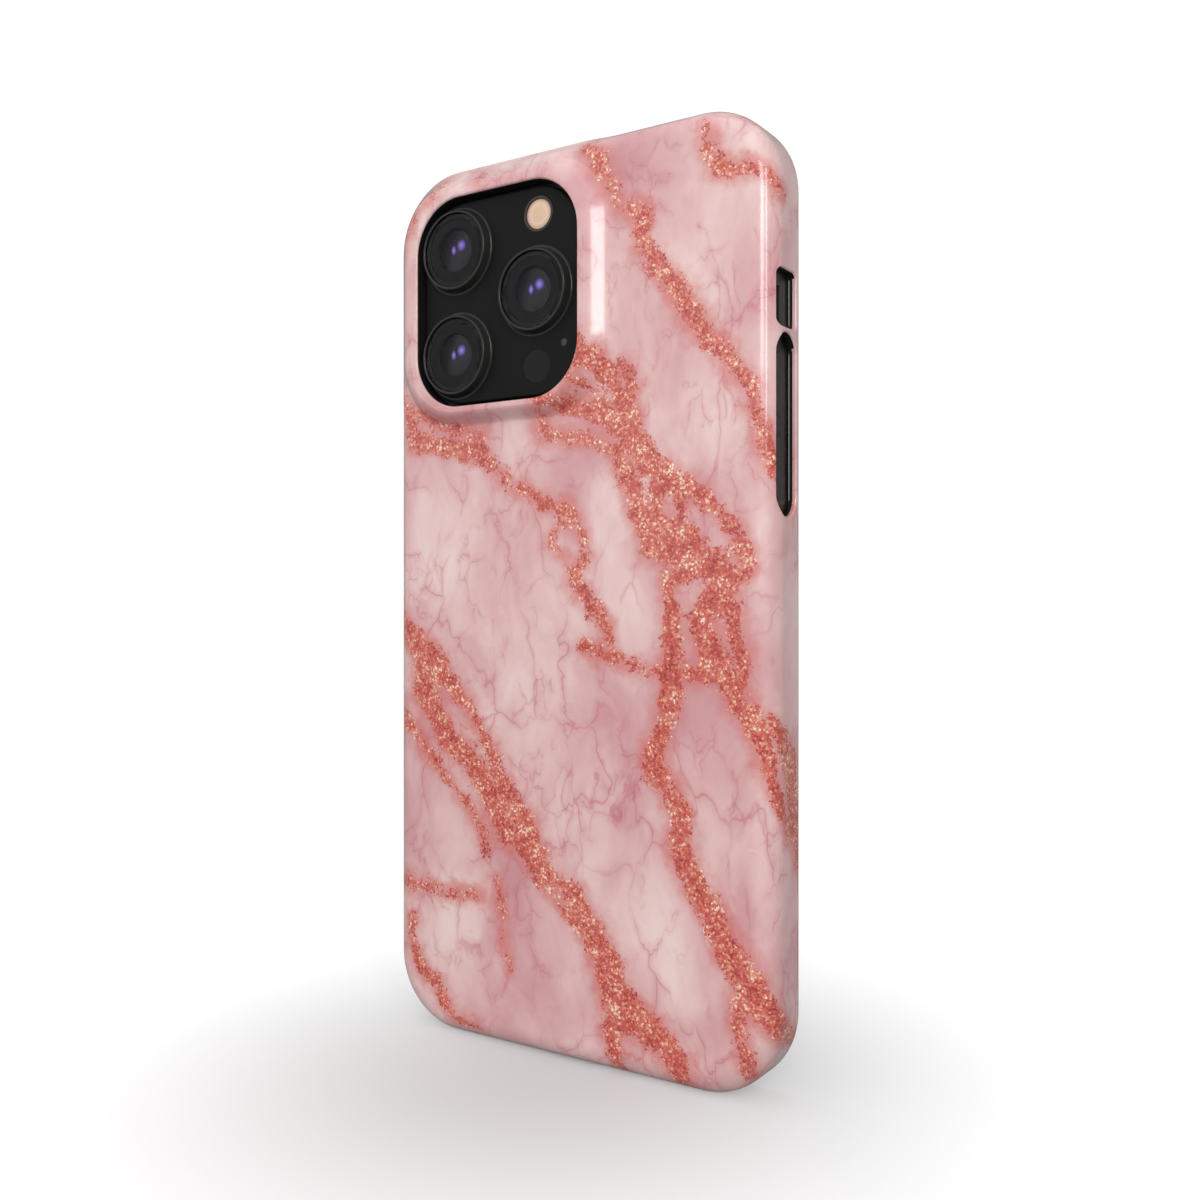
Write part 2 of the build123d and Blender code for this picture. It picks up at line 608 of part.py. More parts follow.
def bottom_meshes():
    """Dust mesh behind each row of round holes in the bottom edge."""
    length = HOLE_PITCH * (HOLE_COUNT - 1) + 3 * HOLE_R
    middle = HOLE_FIRST + HOLE_PITCH * (HOLE_COUNT - 1) / 2
    half = 1.5 * HOLE_R
    solids = []
    for side in (-1, 1):
        x = (side * middle - length / 2, side * middle + length / 2)
        y = (PHONE_MID - half, PHONE_MID + half)
        solids.append(block(x, y, (LOW_Z + SEAT, LOW_Z + SEAT + MESH_T)))
    return solids[0] + solids[1]


nodes["charging_port"] = charging_port()
nodes["bottom_screws"] = bottom_screws()
nodes["bottom_meshes"] = bottom_meshes()


# ---- phone: buttons ------------------------------------------------------------------------------
def press_button(span, side):
    """Slim key: a cap almost flush with the band and a flange that keeps it in."""
    wall_in = SIDE_X - BAND_WALL - SEAT
    cap = side_bar(span, BUTTON_W, side * (wall_in - FLANGE_T), side * (SIDE_X + BUTTON_PROUD))
    face = cap.faces().sort_by(Axis.X)[-1 if side > 0 else 0]
    cap = fillet(face.edges(), BUTTON_EDGE_R)
    flange = side_bar(span, BUTTON_W, side * (wall_in - FLANGE_T), side * wall_in, grow=FLANGE)
    return cap + flange


def switch_strip(span, side, domes):
    """Contact strip behind the keys, with one snap dome for each press point."""
    inner = SIDE_X - BAND_WALL - SEAT - FLANGE_T - PRESS - 0.1
    strip = block(
        sorted((side * (inner - 2 * STRIP_T), side * (inner - STRIP_T))),
        (PHONE_MID - STRIP_W / 2, PHONE_MID + STRIP_W / 2),
        (MID + span[0], MID + span[1]),
    )
    for z in domes:
        place = Pos(side * (inner - STRIP_T / 2), PHONE_MID, MID + z)
        dome = place * Rot(0, 90, 0) * Cylinder(DOME_R, STRIP_T)
        strip = strip + dome
    return strip


def mute_switch():
    """Slider of the ring switch, at its end towards the screen, with a foot behind the band."""
    wall_in = SIDE_X - BAND_WALL - SEAT
    middle = PHONE_MID + SWITCH_THROW
    inner = wall_in - FLANGE_T
    bar = side_bar(
        SWITCH_SPAN, SWITCH_W, inner, SIDE_X + BUTTON_PROUD, corner=SWITCH_CORNER_R, mid=middle
    )
    foot = side_bar(
        SWITCH_SPAN, SWITCH_W, inner, wall_in, corner=SWITCH_CORNER_R, mid=middle, grow=SWITCH_FOOT
    )
    return bar + foot


def middle_of(span):
    return (span[0] + span[1]) / 2


nodes["volume_up_button"] = press_button(VOLUME_UP_SPAN, 1)
nodes["volume_down_button"] = press_button(VOLUME_DOWN_SPAN, 1)
nodes["side_button"] = press_button(SIDE_BUTTON_SPAN, -1)
nodes["mute_switch"] = mute_switch()
nodes["volume_contacts"] = switch_strip(
    (VOLUME_DOWN_SPAN[0], VOLUME_UP_SPAN[1]), 1, (middle_of(VOLUME_UP_SPAN), middle_of(VOLUME_DOWN_SPAN))
)
nodes["side_button_contact"] = switch_strip(SIDE_BUTTON_SPAN, -1, (middle_of(SIDE_BUTTON_SPAN),))
nodes["mute_switch_base"] = block(
    SWITCH_BASE_X,
    (PHONE_MID - SWITCH_BASE_W / 2, PHONE_MID + SWITCH_BASE_W / 2),
    (MID + SWITCH_SPAN[0], MID + SWITCH_SPAN[1]),
)


# ---- write the parts -----------------------------------------------------------------------------
os.makedirs("parts", exist_ok=True)
for name, shape in nodes.items():
    export_step(Pos(0, ROW_SHIFT, 0) * shape, f"parts/{name}.step")
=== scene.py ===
import math

import bmesh
import bpy
import numpy as np
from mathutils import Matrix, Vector
from mathutils.geometry import delaunay_2d_cdt


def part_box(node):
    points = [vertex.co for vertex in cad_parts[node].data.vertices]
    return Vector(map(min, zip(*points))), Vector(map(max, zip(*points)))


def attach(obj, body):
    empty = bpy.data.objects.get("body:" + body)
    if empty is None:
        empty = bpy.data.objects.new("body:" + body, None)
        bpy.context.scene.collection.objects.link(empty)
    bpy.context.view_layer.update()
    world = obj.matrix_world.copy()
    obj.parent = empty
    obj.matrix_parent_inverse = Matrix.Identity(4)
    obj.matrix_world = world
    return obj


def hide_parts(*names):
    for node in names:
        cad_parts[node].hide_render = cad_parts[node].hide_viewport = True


# A glossy phone case with a pink marble and glitter print, on a dark generic handset.
# Lengths below are millimetres and become metres with MM.  x runs across the case, "rise" is
# the height from mid-height, and "depth" is measured from the case's outer back face towards
# the screen, so the raised camera rim has negative depths.

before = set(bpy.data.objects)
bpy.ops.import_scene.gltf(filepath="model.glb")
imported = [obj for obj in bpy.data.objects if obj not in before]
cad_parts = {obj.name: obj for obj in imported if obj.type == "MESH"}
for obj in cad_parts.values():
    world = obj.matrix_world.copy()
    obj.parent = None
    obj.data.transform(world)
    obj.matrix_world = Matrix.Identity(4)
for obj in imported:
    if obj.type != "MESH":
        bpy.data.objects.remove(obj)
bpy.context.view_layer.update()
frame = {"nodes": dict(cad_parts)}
MM = 0.001

case_low, case_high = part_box("case_shell")
CASE_W = (case_high.x - case_low.x) / MM
CASE_H = (case_high.z - case_low.z) / MM
HALF_W = CASE_W / 2
HALF_H = CASE_H / 2
CASE_R = 14.0
BACK_R = 4.0
FRONT_R = 0.95
WALL = 1.35
BACK_WALL = 1.4
INNER_R = 1.2
LIP_R = 0.2                 # small rounding on the inside of the open edge
RIM_H = 2.3
CASE_D = (case_high.y - case_low.y) / MM - RIM_H
BACK_Y = case_low.y / MM + RIM_H
WORLD_BRIGHT = (-0.22, -0.85, 0.48)     # direction in which the studio is brightest
WORLD_TURN = (-0.2, 0.7)    # cosines of the angle to it between which the studio brightens
WORLD_AWAY = 0.30           # studio light from the sides away from it
WORLD_FRONT = 0.92          # and from that direction
FLOOR_HALF = 6.0            # metres from the middle of the floor to its edges
FLOOR_MIDDLE = (0, -0.01)   # metres, where the painted shadow round the object's foot is centred, from which the floor fades to white
FLOOR_FADE = (0.0, 100.0)   # how far from there the painted shadow's fade to white starts and ends
FLOOR_PAINTED_GLOW = (0.22, 0.71)   # glow the camera sees added to the floor at those two distances; the dimmer glow near the object is painted shadow
LIGHT_AIM = 0.08            # height in metres that the soft boxes point at, on the object's axis
LIGHTS = (                  # name, azimuth, then height, distance, width and length in metres, watts
    ("key", 31, 0.36, 0.6, 0.16, 0.27, 1.15),
    ("strip", 50, 0.29, 0.5, 0.06, 0.24, 0.4),
)
SMOOTH_ANGLE = 32           # degrees between faces above which an edge of the shell stays sharp
CLOSE = 0.01                # slack when comparing places on the shell
LOOSE = 0.05                # and a looser one
PLAIN_LIP = 0.3             # the unprinted inside starts this far out from the cavity's wall


# ---- camera, floor and light ----
def add_camera():
    """Level camera a little over 0.2 m away, 33 degrees round to the side with the keys."""
    turn = math.radians(33.38)
    distance = 216.6 * MM
    shift = 6.23 * MM
    data = bpy.data.cameras.new("camera")
    data.sensor_width = 36.0
    data.lens = 36.65
    data.clip_start = 0.01
    camera = bpy.data.objects.new("camera", data)
    camera.location = (
        shift * math.cos(turn) + distance * math.sin(turn),
        BACK_Y * MM + shift * math.sin(turn) - distance * math.cos(turn),
        (HALF_H + 0.3) * MM,
    )
    camera.rotation_euler = (math.radians(90), 0, turn)
    bpy.context.scene.collection.objects.link(camera)
    bpy.context.scene.camera = camera


def add_area(name, azimuth, height, distance, width, tall, power):
    """Soft box: azimuth 0 stands in front of the printed back, positive towards +X."""
    data = bpy.data.lights.new(name, "AREA")
    data.shape = "RECTANGLE"
    data.size = width
    data.size_y = tall
    data.energy = power
    light = bpy.data.objects.new(name, data)
    a = math.radians(azimuth)
    light.location = (distance * math.sin(a), -distance * math.cos(a), height)
    towards = Vector((0, 0, LIGHT_AIM)) - light.location
    light.rotation_euler = towards.to_track_quat("-Z", "Y").to_euler()
    bpy.context.scene.collection.objects.link(light)


def add_floor():
    """White paper floor; for the camera only it glows, dimly near the object as painted shadow round its foot
    and brighter further out, up to the white of the backdrop.
    """
    mesh = bpy.data.meshes.new("floor")
    signs = ((-1, -1), (1, -1), (1, 1), (-1, 1))
    mesh.from_pydata([(x * FLOOR_HALF, y * FLOOR_HALF, 0) for x, y in signs], [], [(0, 1, 2, 3)])
    floor = bpy.data.objects.new("floor", mesh)
    bpy.context.scene.collection.objects.link(floor)
    paper = Paint("floor_paper")
    away = paper.axis_distance((FLOOR_MIDDLE,), up="Z")
    # painted shadow: the glow added for the camera is weakest at the object's foot
    glow_with_painted_shadow = paper.step(away, *FLOOR_FADE, *FLOOR_PAINTED_GLOW)
    path = paper.nodes.new("ShaderNodeLightPath")
    mesh.materials.append(paper.shade(
        Base_Color=(0.45, 0.45, 0.45, 1),
        Roughness=0.8,
        Specular_IOR_Level=0.1,
        Emission_Color=(1, 1, 1, 1),
        Emission_Strength=paper.math("MULTIPLY", glow_with_painted_shadow, path.outputs["Is Camera Ray"]),
    ))


def add_world():
    """Soft white studio, brighter in front of the printed back; the camera sees it pure white."""
    world = bpy.data.worlds.new("studio")
    world.use_nodes = True
    tree = world.node_tree

    def add(kind, **defaults):
        node = tree.nodes.new(kind)
        for name, value in defaults.items():
            node.inputs[name].default_value = value
        return node

    seen = tree.nodes["Background"]
    seen.inputs["Color"].default_value = (1, 1, 1, 1)
    seen.inputs["Strength"].default_value = 1.05
    ways = add("ShaderNodeTexCoord")
    towards = add("ShaderNodeVectorMath")
    towards.operation = "DOT_PRODUCT"
    towards.inputs[1].default_value = WORLD_BRIGHT
    level = add("ShaderNodeMapRange")
    level.interpolation_type = "SMOOTHSTEP"
    names = ("From Min", "From Max", "To Min", "To Max")
    for name, value in zip(names, (*WORLD_TURN, WORLD_AWAY, WORLD_FRONT)):
        level.inputs[name].default_value = value
    lit = add("ShaderNodeBackground", Color=(1, 1, 1, 1))
    path = add("ShaderNodeLightPath")
    join = add("ShaderNodeMixShader")
    tree.links.new(ways.outputs["Generated"], towards.inputs[0])
    tree.links.new(towards.outputs["Value"], level.inputs["Value"])
    tree.links.new(level.outputs["Result"], lit.inputs["Strength"])
    tree.links.new(path.outputs["Is Camera Ray"], join.inputs[0])
    tree.links.new(lit.outputs[0], join.inputs[1])
    tree.links.new(seen.outputs[0], join.inputs[2])
    tree.links.new(join.outputs[0], tree.nodes["World Output"].inputs["Surface"])
    bpy.context.scene.world = world


# ---- case shell mesh ----
ARC = 20                    # quads round one corner
ACROSS = 64                 # along a short side
UPRIGHT = 128               # along a long side
GRID = 1.25                 # spacing of the points inside the flat of the back

WINDOW = (-32.9, 4.0, 36.4, 75.4)       # left, right, low, high
WINDOW_R = 10.0
RIM_CREST = 0.9
RIM_RUN_RIGHT = 5.6
RIM_RUN_DOWN = 2.7
RIM_ROOT_INSET = 1.4
RIM_ROOT_DEPTH = 1.0
RIM_SHOULDER = 0.9
RIM_EDGE_R = 0.4
RIM_GROW_LEFT = 3.0         # growth of the corner radii from the crest to the foot
RIM_GROW_RIGHT = 4.0
ROOT_ACROSS = (3, 11)       # x over which the rim's steep root fades out into the rounded edge
ROOT_UP = (31, 39)          # rise over which it fades in
WINDOW_EDGE_R = 0.25        # rounding where the window meets the inside of the back
NEAR_SIDE = 1.2             # how far the flat patch of the back stays inside the outline beside the rim
PAST_ROUND = 0.3            # and how far inside the rounded edge elsewhere


def outline(left, right, low, high, radii):
    """Closed outline, always of as many points; radii go low-left, low-right, high-right, high-left."""
    ll, lr, hr, hl = radii
    corners = (
        (left + ll, low + ll, ll, 180),
        (right - lr, low + lr, lr, 270),
        (right - hr, high - hr, hr, 0),
        (left + hl, high - hl, hl, 90),
    )
    starts = []
    for cx, cz, radius, start in corners:
        angles = np.radians(start + np.linspace(0, 90, ARC + 1))
        starts.append(np.stack([cx + radius * np.cos(angles), cz + radius * np.sin(angles)], 1))
    points = []
    for index, count in enumerate((ACROSS, UPRIGHT, ACROSS, UPRIGHT)):
        arc = starts[index]
        to = starts[(index + 1) % 4][0]
        share = np.linspace(0, 1, count + 1)[:-1, None]
        points.append(arc[:-1])
        points.append(arc[-1] + (to - arc[-1]) * share)
    return np.concatenate(points)


def case_outline(inset):
    """Outline of the case from behind, a constant inset inside its widest contour."""
    r = CASE_R - inset
    return outline(-HALF_W + inset, HALF_W - inset, -HALF_H + inset, HALF_H - inset, (r, r, r, r))


def window_outline(grow):
    """Outline of the camera window, grown outwards by a margin."""
    left, right, low, high = WINDOW
    r = WINDOW_R + grow
    return outline(left - grow, right + grow, low - grow, high + grow, (r, r, r, r))


def rim_outline(share):
    """Contour of the rim's outer flank, from its crest at 0 to its foot at 1, with its depth."""
    height = 1 - share * share * (3 - 2 * share)
    depth = -RIM_H * height
    inset = RIM_ROOT_INSET + (RIM_ROOT_DEPTH - depth) + RIM_SHOULDER * height ** 8
    radii = (
        WINDOW_R + RIM_CREST + RIM_GROW_LEFT * share,
        WINDOW_R + RIM_CREST + RIM_GROW_RIGHT * share,
        WINDOW_R + RIM_CREST + RIM_GROW_RIGHT * share,
        CASE_R - inset,
    )
    right = WINDOW[1] + RIM_CREST + RIM_RUN_RIGHT * share
    low = WINDOW[2] - RIM_CREST - RIM_RUN_DOWN * share
    return outline(-HALF_W + inset, right, low, HALF_H - inset, radii), depth


def smooth_step(low, high, value):
    """Goes smoothly from 0 to 1 as value goes from low to high."""
    t = np.clip((value - low) / (high - low), 0, 1)
    return t * t * (3 - 2 * t)


def inset_in(points, left, right, low, high, radius):
    """How far inside a rounded rectangle each point lies."""
    qx = np.abs(points[:, 0] - (left + right) / 2) - ((right - left) / 2 - radius)
    qz = np.abs(points[:, 1] - (low + high) / 2) - ((high - low) / 2 - radius)
    outside = np.hypot(np.maximum(qx, 0), np.maximum(qz, 0))
    return radius - (outside + np.minimum(np.maximum(qx, qz), 0))


def inset_of(points):
    """How far inside the case's widest contour each point lies."""
    return inset_in(points, -HALF_W, HALF_W, -HALF_H, HALF_H, CASE_R)


def back_depth(points):
    """Depth of the outer surface outside the rim: flat, rounded edge, and the rim's steep root."""
    inset = inset_of(points)
    rounded = BACK_R - np.sqrt(np.maximum(BACK_R ** 2 - np.clip(BACK_R - inset, 0, BACK_R) ** 2, 0))
    root = np.maximum(RIM_ROOT_INSET + RIM_ROOT_DEPTH - inset, 0)
    beside = 1 - smooth_step(*ROOT_ACROSS, points[:, 0])
    above = smooth_step(*ROOT_UP, points[:, 1])
    weight = beside * above
    return weight * np.minimum(root, rounded) + (1 - weight) * rounded


class ShellMesh:
    """Joins equal loops of points into quads, and fills the flat back with one patch of triangles."""

    def __init__(self):
        self.points = []
        self.faces = []
        self.last = None
        self.first = None

    def add_points(self, flat, depth):
        start = len(self.points)
        depth = np.broadcast_to(depth, (len(flat),))
        for (x, rise), d in zip(flat, depth):
            self.points.append((x, d, rise))
        return list(range(start, start + len(flat)))

    def loop(self, flat, depth, join=True):
        ring = self.add_points(flat, depth)
        if self.first is None:
            self.first = ring
        if self.last is not None and join:
            self.bridge(self.last, ring)
        self.last = ring
        return ring

    def bridge(self, a, b):
        count = len(a)
        for i in range(count):
            j = (i + 1) % count
            self.faces.append((a[i], a[j], b[j], b[i]))

    def patch(self, inner, outer, inner_flat, outer_flat):
        """Fills between two loops with near-even triangles on a regular grid of points."""
        xs = np.arange(-HALF_W, HALF_W, GRID)
        zs = np.arange(-HALF_H, HALF_H, GRID)
        grid = np.array([(x + (k % 2) * GRID / 2, z) for k, z in enumerate(zs) for x in xs])
        clear = inside(grid, outer_flat) & ~inside(grid, inner_flat)
        grid = grid[clear]
        for loop in (inner_flat, outer_flat):
            grid = grid[nearest(grid, loop) > 0.55 * GRID]
        flat = np.concatenate([inner_flat, outer_flat, grid])
        n = len(inner_flat)
        edges = [(i, (i + 1) % n) for i in range(n)] + [(n + i, n + (i + 1) % n) for i in range(n)]
        result = delaunay_2d_cdt([Vector(p) for p in flat], edges, [], 0, 1e-7)
        new_points, triangles, origins = result[0], result[2], result[3]
        grid_ids = self.add_points(grid, back_depth(grid)) if len(grid) else []
        ids = list(inner) + list(outer) + grid_ids
        where = [ids[o[0]] for o in origins]
        middle = np.array([np.mean([list(new_points[i]) for i in t], axis=0) for t in triangles])
        keep = inside(middle, outer_flat) & ~inside(middle, inner_flat)
        for t, wanted in zip(triangles, keep):
            if wanted:
                self.faces.append(tuple(where[i] for i in t))


def inside(points, loop):
    """Even-odd test of many points against one closed outline."""
    result = np.zeros(len(points), bool)
    x, z = points[:, 0], points[:, 1]
    ax, az = loop[:, 0], loop[:, 1]
    bx, bz = np.roll(ax, -1), np.roll(az, -1)
    for x0, z0, x1, z1 in zip(ax, az, bx, bz):
        crosses = (z0 > z) != (z1 > z)
        if z1 != z0:
            result ^= crosses & (x < (x1 - x0) * (z - z0) / (z1 - z0) + x0)
    return result


def nearest(points, loop):
    """Distance from each point to the nearest corner of an outline."""
    best = np.full(len(points), np.inf)
    for corner in loop:
        best = np.minimum(best, np.hypot(points[:, 0] - corner[0], points[:, 1] - corner[1]))
    return best


def quarter(steps):
    """Angles from 0 to 90 degrees without the first."""
    return np.radians(np.linspace(0, 90, steps + 1)[1:])


def turned(radius, angle):
    """Part way round a quarter round: distance gone one way and distance left the other way."""
    return radius * (1 - math.cos(angle)), radius * (1 - math.sin(angle))


def build_shell():
    """Whole shell as one closed skin, from the window over the outside and back through the cavity."""
    shell = ShellMesh()
    inner, inner_flat = add_window_and_rim(shell)
    outer, outer_flat = add_patch_edge(shell)
    shell.patch(inner, outer, inner_flat, outer_flat)
    add_walls(shell, outer_flat)
    add_cavity(shell)
    shell.bridge(shell.last, shell.first)
    return shell


def add_window_and_rim(shell):
    """Window wall, the rim's rounded crest and its outer flank down to the back."""
    shell.loop(window_outline(WINDOW_EDGE_R), BACK_WALL)
    for angle in quarter(3):
        gone, left = turned(WINDOW_EDGE_R, angle)
        shell.loop(window_outline(left), BACK_WALL - gone)
    for depth in np.linspace(BACK_WALL - WINDOW_EDGE_R, -RIM_H + RIM_EDGE_R, 7)[1:]:
        shell.loop(window_outline(0), depth)
    for angle in quarter(6):
        gone, left = turned(RIM_EDGE_R, angle)
        shell.loop(window_outline(gone), -RIM_H + left)
    for share in np.linspace(0, 1, 30) ** 1.2:
        flat, depth = rim_outline(share)
        ring = shell.loop(flat, depth)
    return ring, flat


def add_patch_edge(shell):
    """Outer border of the flat patch: near the outline beside the rim, past the rounding elsewhere."""
    right = HALF_W - BACK_R - PAST_ROUND
    low = -HALF_H + BACK_R + PAST_ROUND
    near_r = CASE_R - 2 * NEAR_SIDE
    radii = (near_r, CASE_R - BACK_R - PAST_ROUND, near_r, CASE_R - NEAR_SIDE)
    flat = outline(-HALF_W + NEAR_SIDE, right, low, HALF_H - NEAR_SIDE, radii)
    return shell.loop(flat, back_depth(flat), join=False), flat


def add_walls(shell, edge_flat):
    """Rounded back edge, side walls and the roundings of the open edge."""
    widest = case_outline(0)
    for angle in quarter(16):
        flat = edge_flat + (widest - edge_flat) * math.sin(angle)
        shell.loop(flat, back_depth(flat))
    for depth in np.linspace(BACK_R, CASE_D - FRONT_R, 12)[1:]:
        shell.loop(widest, depth)
    for angle in quarter(6):
        gone, left = turned(FRONT_R, angle)
        shell.loop(case_outline(gone), CASE_D - left)
    for angle in np.radians((0, 30, 60, 90)):
        gone, left = turned(LIP_R, angle)
        shell.loop(case_outline(WALL - left), CASE_D - gone)


def add_cavity(shell):
    """Inside of the side walls, the inside rounding and the floor as far as the window."""
    for depth in np.linspace(CASE_D - LIP_R, BACK_WALL + INNER_R, 12)[1:]:
        shell.loop(case_outline(WALL), depth)
    for angle in quarter(6):
        gone, left = turned(INNER_R, angle)
        shell.loop(case_outline(WALL + gone), BACK_WALL + left)
    floor_flat = case_outline(WALL + INNER_R)
    target = window_outline(WINDOW_EDGE_R)
    for share in np.linspace(0, 1, 13)[1:-1]:
        shell.loop(floor_flat + (target - floor_flat) * share, BACK_WALL)


def mesh_object(name, points, faces):
    """Object from (x, depth, rise) points, with its faces turned outwards."""
    mesh = bpy.data.meshes.new(name)
    mesh.from_pydata([(x * MM, (d + BACK_Y) * MM, (rise + HALF_H) * MM) for x, d, rise in points], [], faces)
    mesh.validate()
    thing = bpy.data.objects.new(name, mesh)
    bpy.context.scene.collection.objects.link(thing)
    work = bmesh.new()
    work.from_mesh(mesh)
    bmesh.ops.recalc_face_normals(work, faces=work.faces)
    work.to_mesh(mesh)
    work.free()
    return thing


# ---- openings in the side and bottom walls ----
SLOT_W = 6.8
SLOT_MID = 5.45
SLOT_EDGE = 0.35
PRINT_WRAP = 0.75           # how far the print's lacquer runs into a side opening
CUT_OUT = 1.0               # how far a cutter stands out of the case
SIDE_CUT_IN = 0.5           # and how far it reaches into the cavity, from the side
BOTTOM_CUT_IN = 0.6         # and from the bottom
SIDE_SLOTS = (              # name, side, low, high, corner radius
    ("cut_mute", 1, 44.7, 54.1, 1.2),
    ("cut_volume", 1, 13.85, 43.9, SLOT_W / 2),
    ("cut_side", -1, 12.0, 31.7, SLOT_W / 2),
)
BOTTOM_DEPTH = 5.325        # middle of the openings in the bottom wall
BOTTOM_SLOTS = (            # name, middle, length, width, corner radius
    ("cut_port", 0, 14.6, 6.4, 3.2),
    ("cut_speaker_a", -19.5, 14.0, 3.2, 1.5),
    ("cut_speaker_b", 19.5, 14.0, 3.2, 1.5),
)


def rounded(left, right, low, high, radius, steps):
    """Points of a rounded rectangle, each corner drawn in that many steps."""
    points = []
    for cx, cy, start in (
        (right - radius, high - radius, 0),
        (left + radius, high - radius, 90),
        (left + radius, low + radius, 180),
        (right - radius, low + radius, 270),
    ):
        for angle in np.radians(start + np.linspace(0, 90, steps + 1)):
            points.append((cx + radius * math.cos(angle), cy + radius * math.sin(angle)))
    return points


def slot_profile(low, high, radius, grow):
    """Outline of a side opening as (depth, rise) points, grown outwards by a margin."""
    half = SLOT_W / 2 + grow
    return rounded(SLOT_MID - half, SLOT_MID + half, low - grow, high + grow, min(radius + grow, half), 12)


def tube_between(name, sections):
    """Closed solid through sections that have the same number of points."""
    points = [p for section in sections for p in section]
    n = len(sections[0])
    faces = []
    for k in range(len(sections) - 1):
        for i in range(n):
            j = (i + 1) % n
            faces.append((k * n + i, k * n + j, (k + 1) * n + j, (k + 1) * n + i))
    faces.append(tuple(range(n)))
    faces.append(tuple((len(sections) - 1) * n + i for i in reversed(range(n))))
    return mesh_object(name, points, faces)


def side_cutter(name, side, low, high, radius):
    """Cutter for a side opening whose outer edge is rolled."""
    stations = [(HALF_W - WALL - SIDE_CUT_IN, 0.0), (HALF_W - PRINT_WRAP, 0.0)]
    for angle in np.radians(np.linspace(0, 90, 7)):
        gone, left = turned(SLOT_EDGE, angle)
        stations.append((HALF_W - left, gone))
    stations.append((HALF_W + CUT_OUT, SLOT_EDGE))
    sections = []
    for x, grow in stations:
        sections.append([(side * x, d, rise) for d, rise in slot_profile(low, high, radius, grow)])
    return tube_between(name, sections)


def bottom_cutter(name, middle, long, wide, radius):
    """Cutter for an opening through the bottom wall."""
    left, right = middle - long / 2, middle + long / 2
    flat = rounded(left, right, BOTTOM_DEPTH - wide / 2, BOTTOM_DEPTH + wide / 2, radius, 8)
    ends = (-HALF_H - CUT_OUT, -HALF_H + WALL + BOTTOM_CUT_IN)
    return tube_between(name, [[(x, depth, rise) for x, depth in flat] for rise in ends])


def cut_openings(shell):
    """Cuts the side and bottom openings out of the shell for good."""
    cutters = [side_cutter(*slot) for slot in SIDE_SLOTS] + [bottom_cutter(*slot) for slot in BOTTOM_SLOTS]
    for cutter in cutters:
        modifier = shell.modifiers.new(cutter.name, "BOOLEAN")
        modifier.operation = "DIFFERENCE"
        modifier.solver = "EXACT"
        modifier.object = cutter
    graph = bpy.context.evaluated_depsgraph_get()
    cut = bpy.data.meshes.new_from_object(shell.evaluated_get(graph))
    shell.modifiers.clear()
    shell.data = cut
    for cutter in cutters:
        bpy.data.objects.remove(cutter)


def smooth(thing):
    for polygon in thing.data.polygons:
        polygon.use_smooth = True
    thing.data.set_sharp_from_angle(angle=math.radians(SMOOTH_ANGLE))


